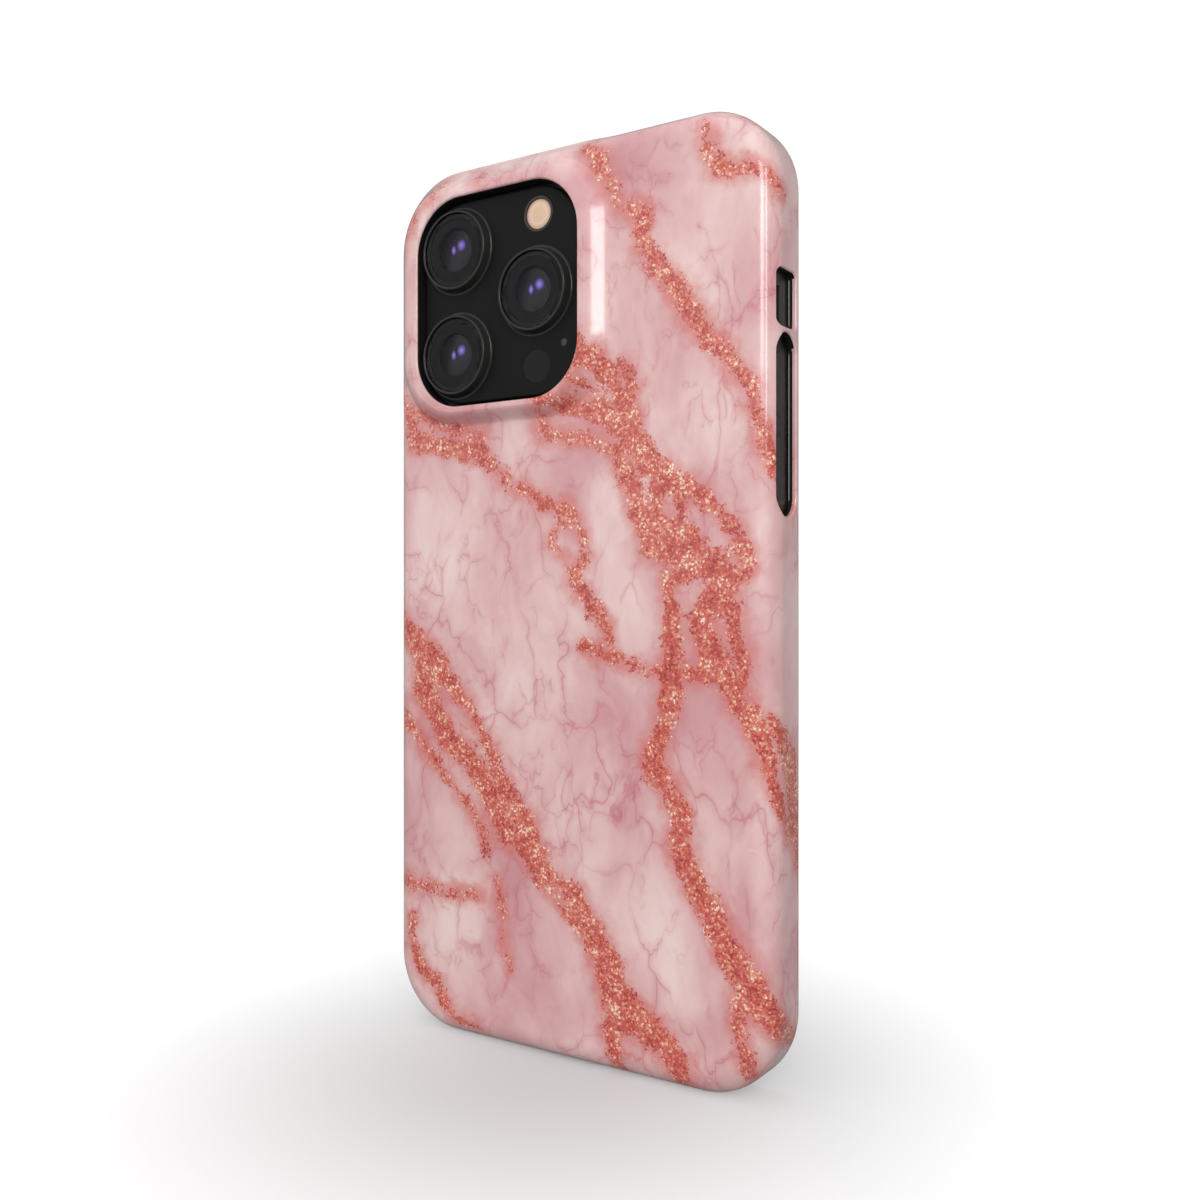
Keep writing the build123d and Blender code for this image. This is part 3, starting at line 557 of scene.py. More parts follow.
# ---- print pattern ----
# Glitter veins as polylines of (x, rise, half width).  They run over the edges: beyond the flat of
# the back a point's depth is added to its distance from the middle.
VEINS = (
    # right shoulder, from the top edge down to the volume keys
    ((4, 80, 1.2), (8, 76, 1.5), (10, 71, 1.0), (12, 68, 0.6), (16, 66, 2.0), (16, 61, 1.2), (20, 56, 1.2),
     (23, 52, 1.8), (26, 47, 1.8), (29, 43, 1.6), (32, 41, 1.6), (34, 38, 1.2), (37, 35, 0.8), (37, 31, 1.2),
     (39, 27, 1.6), (41, 22, 1.6), (46, 16, 1.0)),
    ((15, 61, 0.5), (18, 56, 0.5), (22, 52, 0.5)),
    ((28, 79, 0.8), (29, 74, 1.0), (31, 71, 1.5), (34, 70, 1.2), (37, 70, 1.0), (44, 66, 0.8)),
    # round the camera window
    ((-44, 60, 1.0), (-40, 67, 1.6), (-36, 72, 2.0), (-33, 76, 1.5), (-28, 79, 1.5)),
    ((-19, 80, 1.0), (-18, 78, 0.6)),
    # middle cluster, from below the window to the right edge
    ((3, 46, 1.5), (4, 43, 2.5), (7, 42, 2.0), (9, 40, 2.0), (11, 37, 1.5), (13, 32, 1.8), (14, 28, 2.2),
     (17, 24, 2.5), (22, 20, 2.0), (27, 18, 1.5), (30, 15, 1.2), (33, 12, 1.2), (35, 9, 1.3), (36, 5, 1.0),
     (33, 3, 2.0)),
    ((-6, 38, 1.0), (-1, 35, 1.5), (4, 34, 1.8), (8, 33, 2.0), (12, 30, 2.0)),
    ((12, 41, 1.2), (14, 36, 1.2), (14, 31, 1.5)),
    ((0, 41, 1.0), (5, 38, 0.6), (8, 35, 0.8)),
    ((-5, 34, 1.0), (-4, 30, 1.2), (2, 29, 1.0), (7, 28, 1.0), (11, 25, 1.5), (14, 20, 1.8), (16, 15, 2.2),
     (18, 10, 2.6), (22, 8, 2.5), (27, 7, 2.2), (31, 5, 2.4), (31, 0, 2.4)),
    ((19, 22, 1.0), (19, 14, 1.5), (24, 12, 1.5), (27, 9, 1.5)),
    ((22, 20, 1.0), (24, 16, 1.0), (23, 12, 1.2)),
    # long vein down the right half
    ((26, 6, 2.0), (21, 3, 1.2), (22, -3, 1.5), (22, -9, 1.6), (22, -14, 2.2), (21, -19, 1.5), (19, -24, 1.8),
     (18, -28, 2.0), (21, -31, 1.5), (24, -36, 1.8), (23, -41, 1.8), (26, -46, 2.0), (29, -51, 2.2),
     (32, -56, 2.6), (35, -60, 2.6), (38, -64, 2.8), (41, -67, 2.5), (47, -72, 1.6)),
    ((31, 0, 2.0), (27, -3, 2.0), (29, -8, 2.0), (28, -12, 1.2), (24, -12, 1.2), (16, -12, 0.8),
     (10, -9, 1.0), (4, -8, 1.0)),
    ((33, 0, 1.5), (34, -6, 1.2), (35, -10, 1.0), (33, -15, 1.5), (36, -18, 2.0), (39, -23, 2.0),
     (41, -29, 1.5), (46, -38, 1.0)),
    ((29, -8, 1.5), (32, -13, 1.5), (35, -17, 1.5)),
    ((40, -19, 1.0), (44, -22, 2.0), (47, -28, 2.4), (48, -34, 2.4), (50, -40, 2.0), (51, -45, 1.2)),
    # thin vein from under the window to the middle
    ((-45, 41, 1.2), (-39, 38, 2.0), (-36, 35, 1.5), (-35, 31, 2.0), (-30, 30, 1.6), (-25, 29, 2.0),
     (-20, 28, 2.0), (-16, 25, 0.9), (-12, 21, 0.9), (-8, 20, 1.2), (-4, 17, 1.3), (0, 17, 1.3),
     (2, 14, 1.2), (-1, 14, 0.6)),
    ((-34, 36, 1.0), (-28, 33, 1.0), (-20, 31, 1.2)),
    ((2, 14, 0.8), (4, 11, 0.6), (5, 8, 0.6), (2, 5, 1.2), (4, 1, 1.3), (7, -2, 1.2), (9, -5, 0.8),
     (10, -9, 1.0)),
    ((-2, 13, 0.5), (-3, 10, 0.4), (0, 8, 0.4)),
    # long vein from the left edge to the bottom
    ((-45, 0, 1.4), (-38, -5, 2.0), (-34, -9, 2.5), (-30, -12, 2.5), (-26, -16, 1.8), (-22, -20, 1.0),
     (-19, -24, 0.8), (-16, -29, 1.2), (-14, -33, 1.8), (-11, -38, 2.0), (-8, -41, 2.2), (-6, -46, 1.6),
     (-3, -49, 1.2), (2, -52, 1.8), (5, -56, 2.2), (8, -61, 2.8), (10, -66, 2.6), (14, -71, 3.0),
     (19, -73, 2.4), (23, -77, 1.8), (24, -84, 1.5)),
    ((-33, -11, 2.0), (-33, -17, 3.0), (-30, -21, 2.4), (-27, -26, 2.5), (-22, -29, 2.0), (-18, -34, 2.2),
     (-16, -38, 2.4), (-13, -42, 2.0), (-9, -44, 2.2), (-6, -48, 1.4), (-4, -51, 1.2), (0, -55, 0.8),
     (4, -58, 1.0)),
    ((-38, -23, 1.5), (-34, -26, 1.2), (-31, -30, 1.0), (-27, -34, 0.6), (-22, -38, 0.7), (-19, -42, 0.9),
     (-18, -46, 0.7)),
    ((10, -66, 1.8), (10, -74, 1.8), (11, -82, 1.2)),
    # small ones near the lower left and right corners
    ((-44, -54, 1.0), (-38, -54, 1.2), (-32, -55, 0.9), (-27, -55, 0.8), (-20, -55, 0.7)),
    ((-36, -61, 0.9), (-36, -66, 0.8), (-34, -70, 1.0), (-30, -72, 1.0), (-28, -76, 1.0), (-25, -79, 0.8),
     (-20, -79.5, 0.5)),
    ((-15, -51, 0.5), (-14, -57, 0.4), (-14, -62, 0.3), (-12, -67, 0.5)),
    ((34, -66, 1.5), (35, -72, 1.0), (37, -80, 0.8)),
)
# Cloudy patches of the stone: x, rise, half width, half height, lean in degrees, tone (+ pale, - rose).
PATCHES = (
    (-27, 12, 10, 14, 15, 1.0), (-13, 29, 5, 6, 20, 0.6), (12, 5, 6, 12, 20, 0.8),
    (27, 31, 7, 8, 35, 0.9), (-28, -64, 9, 9, 0, 0.8), (0, -29, 10, 12, 25, 0.7),
    (-11, -17, 9, 12, 20, 0.6), (29, -32, 6, 13, 10, 0.5), (19, -58, 5, 8, 25, 0.3),
    (29, 76, 9, 6, 0, 0.8), (26, 58, 9, 8, 0, 0.4), (14, -45, 5, 8, 20, 0.4),
    (6, 27, 8, 5, -20, -0.8), (-16, 4, 5, 9, 10, -0.5), (-28, -37, 12, 9, -20, -0.8),
    (35, -3, 5, 9, 0, -0.7), (-9, -50, 8, 6, 20, -0.5), (19, 46, 6, 6, 0, -0.4),
    (-34, 29, 8, 7, 0, -0.7), (30, 13, 6, 8, 0, -0.7), (11, 76, 6, 6, 0, -0.4),
    (22, -22, 4, 9, 0, -0.4), (-33, -20, 8, 7, 0, -0.6), (17, -70, 8, 7, 0, -0.4),
)
PRINT_FLAT = 36.5           # half width of the print's flat part
PRINT_FOLD = 4.0            # width of the band over which the print folds round an edge


def unrolled(points):
    """Print coordinates of (x, depth, rise) points: edges and sides are folded out flat."""
    x, depth, rise = points[:, 0], points[:, 1], points[:, 2]
    deep = np.maximum(depth, 0)
    across = np.clip((np.abs(x) - PRINT_FLAT) / PRINT_FOLD, 0, 1)
    along = np.clip((np.abs(rise) - (HALF_H - HALF_W + PRINT_FLAT)) / PRINT_FOLD, 0, 1)
    return np.stack([x + np.sign(x) * across * deep, rise + np.sign(rise) * along * deep], 1)


def vein_distance(flat):
    """Distance to the edge of the nearest vein in mm, negative inside it."""
    best = np.full(len(flat), 99.0)
    for vein in VEINS:
        for (x0, z0, r0), (x1, z1, r1) in zip(vein, vein[1:]):
            run = np.array([x1 - x0, z1 - z0])
            share = np.clip((flat - (x0, z0)) @ run / (run @ run), 0, 1)
            away = np.hypot(flat[:, 0] - x0 - share * run[0], flat[:, 1] - z0 - share * run[1])
            best = np.minimum(best, away - (r0 + (r1 - r0) * share))
    return best


def patch_tone(flat):
    """Sum of the soft elliptical patches at each point."""
    tone = np.zeros(len(flat))
    for x, rise, half_w, half_h, lean, amount in PATCHES:
        c, s = math.cos(math.radians(lean)), math.sin(math.radians(lean))
        dx, dz = flat[:, 0] - x, flat[:, 1] - rise
        tone += amount * np.exp(-(((dx * c + dz * s) / half_w) ** 2 + ((dz * c - dx * s) / half_h) ** 2))
    return tone


def store(mesh, name, values):
    attribute = mesh.attributes.new(name, "FLOAT", "POINT")
    attribute.data.foreach_set("value", values.astype(np.float32))


def row_points(mesh):
    """Vertices as (x, depth, rise) in mm."""
    flat = np.zeros(len(mesh.vertices) * 3)
    mesh.vertices.foreach_get("co", flat)
    points = flat.reshape(-1, 3) / MM
    return np.stack([points[:, 0], points[:, 1] - BACK_Y, points[:, 2] - HALF_H], 1)


def print_pattern(mesh):
    """Stores the distance to the veins and the tone of the stone on the mesh's vertices."""
    points = row_points(mesh)
    flat = unrolled(points)
    store(mesh, "vein", vein_distance(flat))
    store(mesh, "tone", patch_tone(flat))


# ---- materials ----
LENSES = ("upper_left", "lower_left", "right")
THREAD_PITCH = 0.14         # between threads of the dust meshes
TURNING_PITCH = 0.09        # between turned lines on a lens ring
FLASH_STEP_PITCH = 0.35     # between the steps of the flash's lens
CRACKS = (                  # cell size, line width, noise between which the net appears, strength
    (13, 0.026, 0.42, 0.58, 0.62),
    (5.5, 0.045, 0.48, 0.62, 0.5),
)
PAINTED_GLINTS = (                  # painted violet glints (painted reflections) of a lens: offset from its middle, width and height
    ((-0.25, 0.0), (0.6, 0.95)),
    ((1.55, 0.75), (1.05, 1.15)),
)


def tint(red, green, blue):
    """Linear colour from 0-255 display values above 10."""
    return (*(((c / 255 + 0.055) / 1.055) ** 2.4 for c in (red, green, blue)), 1.0)


def scaled(colour, factor):
    """Colour made darker or lighter, still opaque."""
    return (*(c * factor for c in colour[:3]), 1.0)


class Paint:
    """Node tree of one material; its methods add a node and return the output socket."""

    def __init__(self, name):
        self.material = bpy.data.materials.new(name)
        self.material.use_nodes = True
        self.nodes = self.material.node_tree.nodes
        self.links = self.material.node_tree.links
        self.shader = self.nodes["Principled BSDF"]

    def feed(self, socket, value):
        if isinstance(value, bpy.types.NodeSocket):
            self.links.new(value, socket)
        else:
            socket.default_value = value

    def shade(self, **inputs):
        """Sets or links Principled inputs; Base_Color stands for "Base Color"."""
        for name, value in inputs.items():
            self.feed(self.shader.inputs[name.replace("_", " ")], value)
        return self.material

    def mm(self, x=1.0, y=1.0, z=1.0):
        """Object coordinates in millimetres, each axis scaled."""
        coordinates = self.nodes.new("ShaderNodeTexCoord")
        scale = self.nodes.new("ShaderNodeVectorMath")
        scale.operation = "MULTIPLY"
        self.links.new(coordinates.outputs["Object"], scale.inputs[0])
        scale.inputs[1].default_value = (x / MM, y / MM, z / MM)
        return scale.outputs[0]

    def lean(self, vector, degrees, squeeze):
        """Turns coordinates about Y and stretches what they draw along the new vertical."""
        mapping = self.nodes.new("ShaderNodeMapping")
        self.links.new(vector, mapping.inputs["Vector"])
        mapping.inputs["Rotation"].default_value = (0, math.radians(degrees), 0)
        mapping.inputs["Scale"].default_value = (1, 1, squeeze)
        return mapping.outputs[0]

    def noise(self, vector, size, detail=3.0, roughness=0.5, distortion=0.0, output="Fac"):
        node = self.nodes.new("ShaderNodeTexNoise")
        self.links.new(vector, node.inputs["Vector"])
        node.inputs["Scale"].default_value = 1 / size
        node.inputs["Detail"].default_value = detail
        node.inputs["Roughness"].default_value = roughness
        node.inputs["Distortion"].default_value = distortion
        return node.outputs[output]

    def grains(self, vector, size, metric="EUCLIDEAN"):
        """Voronoi cells: (distance from the cell's middle, three random numbers of the cell)."""
        node = self.nodes.new("ShaderNodeTexVoronoi")
        node.distance = metric
        self.links.new(vector, node.inputs["Vector"])
        node.inputs["Scale"].default_value = 1 / size
        split = self.nodes.new("ShaderNodeSeparateColor")
        self.links.new(node.outputs["Color"], split.inputs[0])
        return node.outputs["Distance"], split.outputs

    def cracks(self, vector, size):
        """Distance to the nearest border between Voronoi cells."""
        node = self.nodes.new("ShaderNodeTexVoronoi")
        node.feature = "DISTANCE_TO_EDGE"
        self.links.new(vector, node.inputs["Vector"])
        node.inputs["Scale"].default_value = 1 / size
        return node.outputs["Distance"]

    def math(self, operation, a, b=0.0):
        node = self.nodes.new("ShaderNodeMath")
        node.operation = operation
        self.feed(node.inputs[0], a)
        self.feed(node.inputs[1], b)
        return node.outputs[0]

    def wave(self, value, pitch):
        """Sine that repeats every pitch."""
        return self.math("SINE", self.math("MULTIPLY", value, 2 * math.pi / pitch))

    def around(self, value, amount):
        """amount times (value - 0.5)."""
        return self.math("MULTIPLY", self.math("SUBTRACT", value, 0.5), amount)

    def shift(self, vector, size, amount):
        """Vector pushed about by noise, amount in mm."""
        colour = self.noise(vector, size, 2.0, output="Color")
        nodes = []
        for operation, second in (("SUBTRACT", (0.5,) * 3), ("MULTIPLY", (amount,) * 3)):
            node = self.nodes.new("ShaderNodeVectorMath")
            node.operation = operation
            self.links.new(nodes[-1].outputs[0] if nodes else colour, node.inputs[0])
            node.inputs[1].default_value = second
            nodes.append(node)
        add = self.nodes.new("ShaderNodeVectorMath")
        self.links.new(vector, add.inputs[0])
        self.links.new(nodes[-1].outputs[0], add.inputs[1])
        return add.outputs[0]

    def step(self, value, low, high, start=0.0, end=1.0):
        """Smooth step from start to end as value goes from low to high."""
        node = self.nodes.new("ShaderNodeMapRange")
        node.interpolation_type = "SMOOTHSTEP"
        self.feed(node.inputs["Value"], value)
        node.inputs["From Min"].default_value = low
        node.inputs["From Max"].default_value = high
        node.inputs["To Min"].default_value = start
        node.inputs["To Max"].default_value = end
        return node.outputs["Result"]

    def ramp(self, value, stops):
        node = self.nodes.new("ShaderNodeValToRGB")
        self.links.new(value, node.inputs["Fac"])
        elements = node.color_ramp.elements
        while len(elements) < len(stops):
            elements.new(0.5)
        for element, (place, colour) in zip(elements, stops):
            element.position = place
            element.color = colour
        return node.outputs["Color"]

    def mix(self, factor, a, b, blend="MIX"):
        node = self.nodes.new("ShaderNodeMix")
        node.data_type = "RGBA"
        node.blend_type = blend
        self.feed(node.inputs[0], factor)
        self.feed(node.inputs[6], a)
        self.feed(node.inputs[7], b)
        return node.outputs[2]

    def attribute(self, name):
        node = self.nodes.new("ShaderNodeAttribute")
        node.attribute_name = name
        return node.outputs["Fac"]

    def bump(self, height, depth, strength=1.0):
        """Normal bumped by height, depth in mm."""
        node = self.nodes.new("ShaderNodeBump")
        node.inputs["Strength"].default_value = strength
        node.inputs["Distance"].default_value = depth * MM
        self.links.new(height, node.inputs["Height"])
        return node.outputs[0]

    def axis_distance(self, centres, up="Y", offset=(0, 0), squeeze=(1, 1)):
        """Distance in mm from the nearest of several axes along Y or Z, placed in metres.

        offset moves every axis by millimetres and squeeze divides the distance along each way.
        """
        split = self.nodes.new("ShaderNodeSeparateXYZ")
        self.links.new(self.mm(), split.inputs[0])
        second = split.outputs[2] if up == "Y" else split.outputs[1]
        best = None
        for x, z in centres:
            dx = self.math("DIVIDE", self.math("SUBTRACT", split.outputs[0], x / MM + offset[0]), squeeze[0])
            dz = self.math("DIVIDE", self.math("SUBTRACT", second, z / MM + offset[1]), squeeze[1])
            squared = self.math("ADD", self.math("MULTIPLY", dx, dx), self.math("MULTIPLY", dz, dz))
            away = self.math("SQRT", squared)
            best = away if best is None else self.math("MINIMUM", best, away)
        return best


def marble_base(p, here):
    """Cloudy rose stone, crossed by a net of faint mauve cracks, with faint painted glints along fine
    scratches.
    """
    leaning = p.lean(p.shift(here, 14, 5), 28, 0.6)
    cloud = p.noise(leaning, 17, 7.0, 0.55, 0.3)
    tone = p.math("ADD", cloud, p.math("MULTIPLY", p.attribute("tone"), 0.10))
    stone = p.ramp(tone, (
        (0.30, tint(206, 146, 150)),
        (0.42, tint(216, 164, 166)),
        (0.51, tint(224, 180, 179)),
        (0.60, tint(232, 196, 194)),
        (0.72, tint(240, 212, 208)),
    ))
    for size, width, low, high, amount in CRACKS:
        wandering = p.shift(p.shift(leaning, size * 0.7, size * 0.9), size * 0.2, size * 0.22)
        gap = p.cracks(wandering, size)
        line = p.step(gap, 0, width, 1, 0)
        shade = p.step(gap, 0, width * 4, 0.4, 0)
        patchy = p.step(p.noise(here, size * 1.5, 3.0), low, high)
        factor = p.math("MULTIPLY", p.math("MAXIMUM", line, shade), p.math("MULTIPLY", patchy, amount))
        stone = p.mix(factor, stone, tint(196, 106, 116))
    # fine scratches in the lacquer, lightened as painted glints
    scratch = p.math("ABSOLUTE", p.around(p.noise(p.lean(here, -40, 0.3), 11, 1.0, 0.3, 0.6), 1.0))
    glint = p.math("MULTIPLY", p.step(scratch, 0, 0.006, 1, 0), p.step(p.noise(here, 16), 0.55, 0.68))
    return p.mix(p.math("MULTIPLY", glint, 0.3), stone, tint(250, 234, 228))


def glitter(p, here):
    """(mask, colour, height) of the grains that fill the veins: coarse ones over fine dust."""
    broken = p.around(p.noise(here, 3.0, 5.0, 0.7), 6.0)
    edge = p.math("ADD", p.math("ADD", p.attribute("vein"), 0.2), broken)
    density = p.step(edge, -1.0, 1.0, 1.0, 0.0)
    distance, random = p.grains(p.shift(here, 0.6, 0.2), 0.45)
    fine_random = p.grains(here, 0.22)[1]
    coarse = p.step(p.math("SUBTRACT", density, random[0]), 0.0, 0.08)
    dust = p.step(p.math("SUBTRACT", density, fine_random[0]), 0.0, 0.12, 0.0, 0.9)
    mask = p.math("MAXIMUM", coarse, dust)
    either = p.math("ADD", p.math("MULTIPLY", random[1], 0.6), p.math("MULTIPLY", fine_random[1], 0.4))
    warmth = p.math("ADD", either, p.around(p.noise(here, 3.2, 3.0), 1.1))
    colour = p.ramp(warmth, (
        (0.02, tint(158, 50, 50)),
        (0.25, tint(194, 78, 70)),
        (0.50, tint(216, 106, 92)),
        (0.70, tint(231, 136, 114)),
        (0.84, tint(244, 184, 156)),
        (0.97, tint(255, 236, 214)),
    ))
    # grains darken towards their edges: painted shade between the grains
    colour = p.mix(p.step(distance, 0.3, 0.65, 0.0, 0.3), colour, tint(160, 58, 50))
    return mask, colour, p.math("MULTIPLY", mask, random[2])


def marble():
    p = Paint("marble_and_glitter")
    here = p.mm()
    stone = marble_base(p, here)
    near = p.math("ADD", p.attribute("vein"), p.around(p.noise(here, 5, 5.0, 0.65), 8.0))
    stone = p.mix(p.step(near, -0.8, 2.8, 0.75, 0.0), stone, tint(211, 118, 112))
    mask, colour, height = glitter(p, here)
    ripple = p.noise(here, 30, 2.0)
    return p.shade(
        Base_Color=p.mix(mask, stone, colour),
        Roughness=p.step(ripple, 0.3, 0.7, 0.30, 0.38),
        Normal=p.bump(height, 0.03, 0.4),
        Specular_IOR_Level=0.3,
        Coat_Weight=1.0,
        Coat_Roughness=0.15,
    )


def moulded(name, colour, roughness=0.5, grain=0.25, depth=0.01, level=0.4, spread=0.25):
    """Moulded or painted surface: fine pebble texture and slightly uneven tone."""
    p = Paint(name)
    here = p.mm()
    pebble = p.noise(here, grain, 2.0)
    uneven = p.noise(here, 9, 3.0)
    return p.shade(
        Base_Color=p.mix(uneven, scaled(colour, 1 - spread), scaled(colour, 1 + spread)),
        Roughness=p.step(uneven, 0.3, 0.7, roughness - 0.05, roughness + 0.05),
        Normal=p.bump(pebble, depth, 0.6),
        Specular_IOR_Level=level,
    )


def brushed(name, colour, roughness=0.3, stretch=(1.0, 1.0, 0.03)):
    """Metal with fine brush lines drawn out along one axis."""
    p = Paint(name)
    lines = p.noise(p.mm(*stretch), 0.12, 3.0)
    return p.shade(
        Base_Color=p.mix(lines, scaled(colour, 0.85), scaled(colour, 1.15)),
        Roughness=p.step(lines, 0.3, 0.7, roughness - 0.06, roughness + 0.06),
        Normal=p.bump(lines, 0.004, 0.5),
        Metallic=1.0,
    )


def black_glass(name, colour, roughness, level=0.5):
    """Opaque coated glass with faint handling marks in its gloss."""
    p = Paint(name)
    here = p.mm()
    smudge = p.noise(p.lean(here, 35, 0.4), 14, 5.0, 0.6, 0.5)
    return p.shade(
        Base_Color=p.mix(smudge, scaled(colour, 0.8), colour),
        Roughness=p.step(smudge, 0.35, 0.75, roughness, roughness + 0.06),
        Specular_IOR_Level=level,
    )


def woven_mesh():
    p = Paint("dust_mesh")
    split = p.nodes.new("ShaderNodeSeparateXYZ")
    p.links.new(p.mm(), split.inputs[0])
    across = p.wave(split.outputs[0], THREAD_PITCH)
    along = p.wave(p.math("ADD", split.outputs[2], split.outputs[1]), THREAD_PITCH)
    weave = p.math("MULTIPLY", across, along)
    return p.shade(
        Base_Color=p.mix(p.step(weave, -0.6, 0.6), tint(18, 18, 18), tint(70, 70, 70)),
        Roughness=0.6,
        Normal=p.bump(weave, 0.03, 0.7),
    )


def lens_ring_metal(centres):
    """Turned dark metal: very fine rings round each lens."""
    p = Paint("lens_ring")
    away = p.axis_distance(centres)
    turning = p.wave(away, TURNING_PITCH)
    return p.shade(
        Base_Color=p.mix(p.noise(p.mm(), 3), tint(46, 46, 45), tint(54, 54, 52)),
        Roughness=p.step(turning, -1, 1, 0.13, 0.17),
        Metallic=0.35,
        Specular_IOR_Level=0.3,
    )


def cover_glass():
    """Clear flat cover glass: see-through, with a reflection that grows towards a low angle."""
    p = Paint("lens_cover_glass")
    clear = p.nodes.new("ShaderNodeBsdfTransparent")
    clear.inputs["Color"].default_value = (0.92, 0.92, 0.93, 1)
    facing = p.nodes.new("ShaderNodeFresnel")
    facing.inputs["IOR"].default_value = 1.35
    join = p.nodes.new("ShaderNodeMixShader")
    p.shade(Base_Color=(0, 0, 0, 1), Roughness=p.step(p.noise(p.mm(), 2), 0.3, 0.7, 0.03, 0.05), Metallic=0.0)
    p.links.new(facing.outputs[0], join.inputs[0])
    p.links.new(clear.outputs[0], join.inputs[1])
    p.links.new(p.shader.outputs[0], join.inputs[2])
    p.links.new(join.outputs[0], p.nodes["Material Output"].inputs["Surface"])
    return p.material


def lens_element(name, centres, rim, middle, alpha):
    """Coated lens element, with two violet glints painted on as painted reflections that also glow a little.
    """
    p = Paint(name)
    colour = p.mix(p.step(p.axis_distance(centres), 1.0, 3.6), middle, rim)
    painted_glint_glow = None
    for offset, squeeze in PAINTED_GLINTS:
        away = p.axis_distance(centres, "Y", offset, squeeze)
        # painted reflection: a violet spot, lighter in its middle, that glows
        spot = p.step(away, 0.7, 1.05, 1.0, 0.0)
        tone = p.mix(p.step(away, 0.0, 0.8), tint(186, 158, 240), tint(108, 88, 188))
        colour = p.mix(spot, colour, tone)
        painted_glint_glow = spot if painted_glint_glow is None else p.math("MAXIMUM", painted_glint_glow, spot)
    return p.shade(
        Base_Color=colour,
        Roughness=0.15,
        Alpha=p.math("MAXIMUM", painted_glint_glow, alpha),
        Emission_Color=colour,
        Emission_Strength=p.math("MULTIPLY", painted_glint_glow, 0.3),
    )


def flash_diffuser(centre):
    """Frosted flash lens: peach with a yellow middle and fine concentric steps."""
    p = Paint("flash_lens")
    away = p.axis_distance((centre,))
    steps = p.wave(away, FLASH_STEP_PITCH)
    return p.shade(
        Base_Color=p.ramp(p.step(away, 0.0, 2.7), (
            (0.0, tint(220, 196, 150)), (0.4, tint(226, 190, 162)), (0.8, tint(232, 202, 180)),
            (1.0, tint(206, 168, 142)),
        )),
        Roughness=0.25,
        Normal=p.bump(steps, 0.04, 0.4),
        Coat_Weight=0.5,
        Coat_Roughness=0.1,
    )


def circuit_board():
    p = Paint("circuit_board")
    here = p.mm()
    distance, random = p.grains(here, 3.2, "CHEBYCHEV")
    chip = p.math("MULTIPLY", p.step(distance, 0.33, 0.36, 1, 0), p.step(random[0], 0.45, 0.5))
    part = p.ramp(random[1], ((0.0, tint(20, 20, 22)), (0.6, tint(45, 45, 48)), (1.0, tint(150, 150, 152))))
    traces = p.step(p.math("ABSOLUTE", p.around(p.noise(here, 1.5), 1.0)), 0, 0.03, 0.35, 0)
    board = p.mix(traces, tint(24, 58, 44), tint(96, 120, 84))
    return p.shade(Base_Color=p.mix(chip, board, part), Roughness=0.45, Normal=p.bump(chip, 0.3, 0.6))


def foil():
    p = Paint("battery_foil")
    crease = p.noise(p.shift(p.mm(), 5, 2), 4, 4.0, 0.6)
    return p.shade(
        Base_Color=p.mix(crease, tint(42, 42, 44), tint(78, 78, 80)),
        Roughness=p.step(crease, 0.3, 0.7, 0.25, 0.45),
        Metallic=0.6,
        Normal=p.bump(crease, 0.15, 0.5),
    )


def centre_of(node):
    low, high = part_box(node)
    return ((low.x + high.x) / 2, (low.z + high.z) / 2)


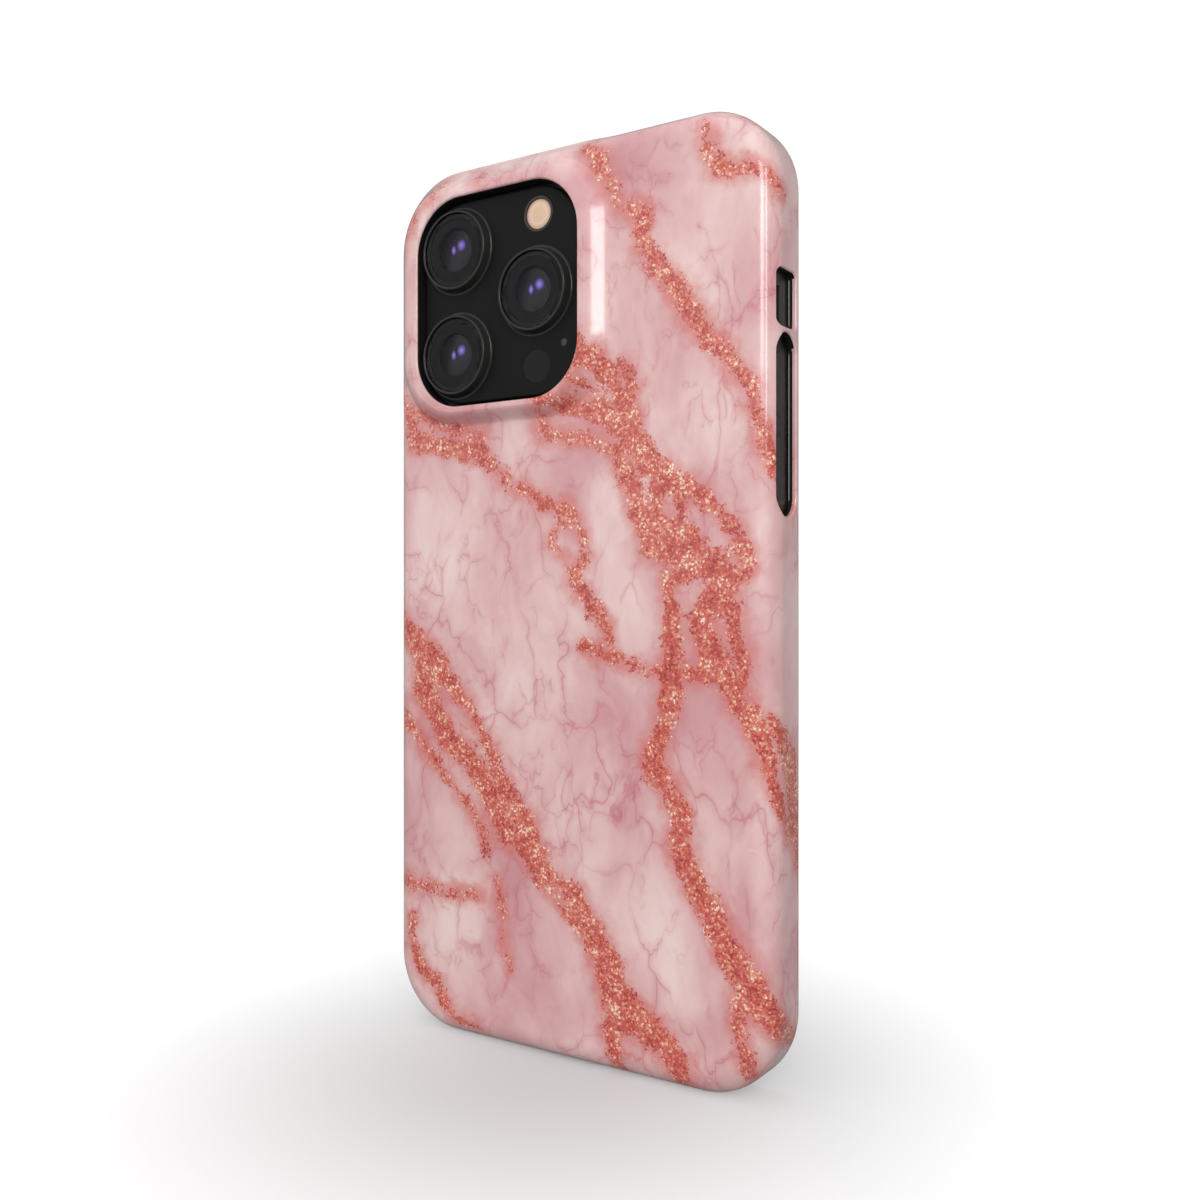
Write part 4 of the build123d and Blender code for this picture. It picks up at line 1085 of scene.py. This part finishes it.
def paint_nodes():
    """One material per kind of surface, on the CAD nodes that show it."""
    nodes = frame["nodes"]
    lenses = [centre_of(f"lens_glass_{name}") for name in LENSES]
    dark_plastic = moulded("inner_plastic", tint(60, 60, 62), 0.55)
    mesh = woven_mesh()
    key = moulded("key_metal", tint(40, 40, 40), 0.38, 0.15, 0.004)
    flex = moulded("flex_circuit", tint(150, 104, 44), 0.4)
    looks = {
        "side_frame": brushed("band_metal", tint(74, 74, 76), 0.32),
        "antenna_breaks": moulded("band_insulator", tint(54, 54, 56), 0.5),
        "back_glass": black_glass("back_glass", tint(62, 62, 66), 0.38),
        "camera_plateau": moulded("camera_plate", tint(20, 20, 20), 0.5, 0.2, 0.004, 0.12, 0.1),
        "front_glass": black_glass("screen_glass", tint(16, 16, 18), 0.04),
        "earpiece_mesh": mesh,
        "rear_mic_mesh": moulded("mic_mesh", tint(58, 58, 60), 0.6),
        "bottom_meshes": mesh,
        "flash_bezel": moulded("flash_bezel", tint(48, 48, 46), 0.35),
        "flash_lens": flash_diffuser(centre_of("flash_lens")),
        "flash_led": moulded("flash_led", tint(240, 205, 120), 0.6),
        "depth_sensor_window": black_glass("sensor_window", tint(20, 20, 20), 0.25, 0.2),
        "depth_sensor": dark_plastic,
        "camera_bracket": brushed("bracket", tint(130, 130, 132), 0.4),
        "mid_plate": brushed("mid_plate", tint(190, 190, 192), 0.35),
        "display_panel": black_glass("display_panel", tint(24, 24, 28), 0.15),
        "battery": foil(),
        "logic_board": circuit_board(),
        "speaker_module": dark_plastic,
        "haptic_motor": brushed("inner_metal", tint(180, 180, 182), 0.35),
        "front_camera": dark_plastic,
        "earpiece_speaker": dark_plastic,
        "charging_port": brushed("port_metal", tint(120, 120, 122), 0.35, (0.03, 1.0, 1.0)),
        "bottom_screws": brushed("screw_metal", tint(110, 110, 112), 0.25, (1.0, 1.0, 1.0)),
        "volume_up_button": key,
        "volume_down_button": key,
        "side_button": key,
        "mute_switch": key,
        "volume_contacts": flex,
        "side_button_contact": flex,
        "mute_switch_base": dark_plastic,
    }
    of_each_lens = {
        "lens_ring": lens_ring_metal(lenses),
        "lens_glass": cover_glass(),
        "lens_barrel": moulded("lens_barrel", tint(54, 54, 54), 0.7, 0.3, 0.006, 0.3, 0.06),
        "front_element": lens_element("front_element", lenses, tint(58, 58, 62), tint(64, 64, 70), 0.9),
        "inner_element": lens_element("inner_element", lenses, tint(22, 20, 30), tint(40, 32, 70), 1.0),
    }
    for kind, material in of_each_lens.items():
        for name in LENSES:
            looks[f"{kind}_{name}"] = material
    for node, material in looks.items():
        for slot in nodes[node].material_slots:
            slot.material = material
    missing = set(nodes) - set(looks) - {"case_shell"}
    assert not missing, missing


def plain_faces(mesh):
    """Marks the shell's unprinted faces: 1 inside the cavity, 2 the dark core in its openings, also laid on
    downward-facing faces of their rolled edges as painted shade.
    """
    points = row_points(mesh)
    inset = inset_of(points[:, [0, 2]])
    aside = np.abs(points[:, 0])
    deep = (inset > WALL - PLAIN_LIP) & (points[:, 1] > BACK_WALL - LOOSE)
    on_window = inset_in(points[:, [0, 2]], *WINDOW, WINDOW_R) > -LOOSE
    below_crest = on_window & (points[:, 1] > -RIM_H + RIM_EDGE_R - CLOSE)
    beside_slot = np.abs(points[:, 1] - SLOT_MID) < SLOT_W / 2 + SLOT_EDGE
    in_slot = (aside > HALF_W - WALL - CLOSE) & beside_slot
    within_wrap = in_slot & (aside < HALF_W - PRINT_WRAP + CLOSE)
    within_edge = in_slot & (aside < HALF_W - SLOT_EDGE + CLOSE)
    for polygon in mesh.polygons:
        corners = list(polygon.vertices)
        looks_down = polygon.normal.z < -0.4
        if deep[corners].all():
            polygon.material_index = 1
        across_wall = abs(polygon.normal.x) < 0.5
        # downward-facing faces within the rolled edge get the dark core too: painted shade under the top of
        # each side opening
        slot_core_and_painted_shade = within_wrap[corners].all() or looks_down and within_edge[corners].all()
        if below_crest[corners].all() or across_wall and slot_core_and_painted_shade:
            polygon.material_index = 2


# ---- build ----
bpy.context.scene.view_settings.view_transform = "Standard"

shell_mesh = build_shell()
shell = mesh_object("marble_shell", shell_mesh.points, shell_mesh.faces)
cut_openings(shell)
smooth(shell)
print_pattern(shell.data)
shell.data.materials.clear()
shell.data.materials.append(marble())
shell.data.materials.append(moulded("case_inside", tint(226, 196, 194), 0.45, 0.4, 0.006, 0.4, 0.04))
# dark core of the openings, also used as painted shade on their downward-facing edges
shell.data.materials.append(moulded("case_core", tint(26, 26, 26), 0.5, 0.3, 0.006, 0.2, 0.05))
plain_faces(shell.data)
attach(shell, "case")
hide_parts("case_shell")
paint_nodes()

add_camera()
add_world()
add_floor()
for light in LIGHTS:
    add_area(*light)
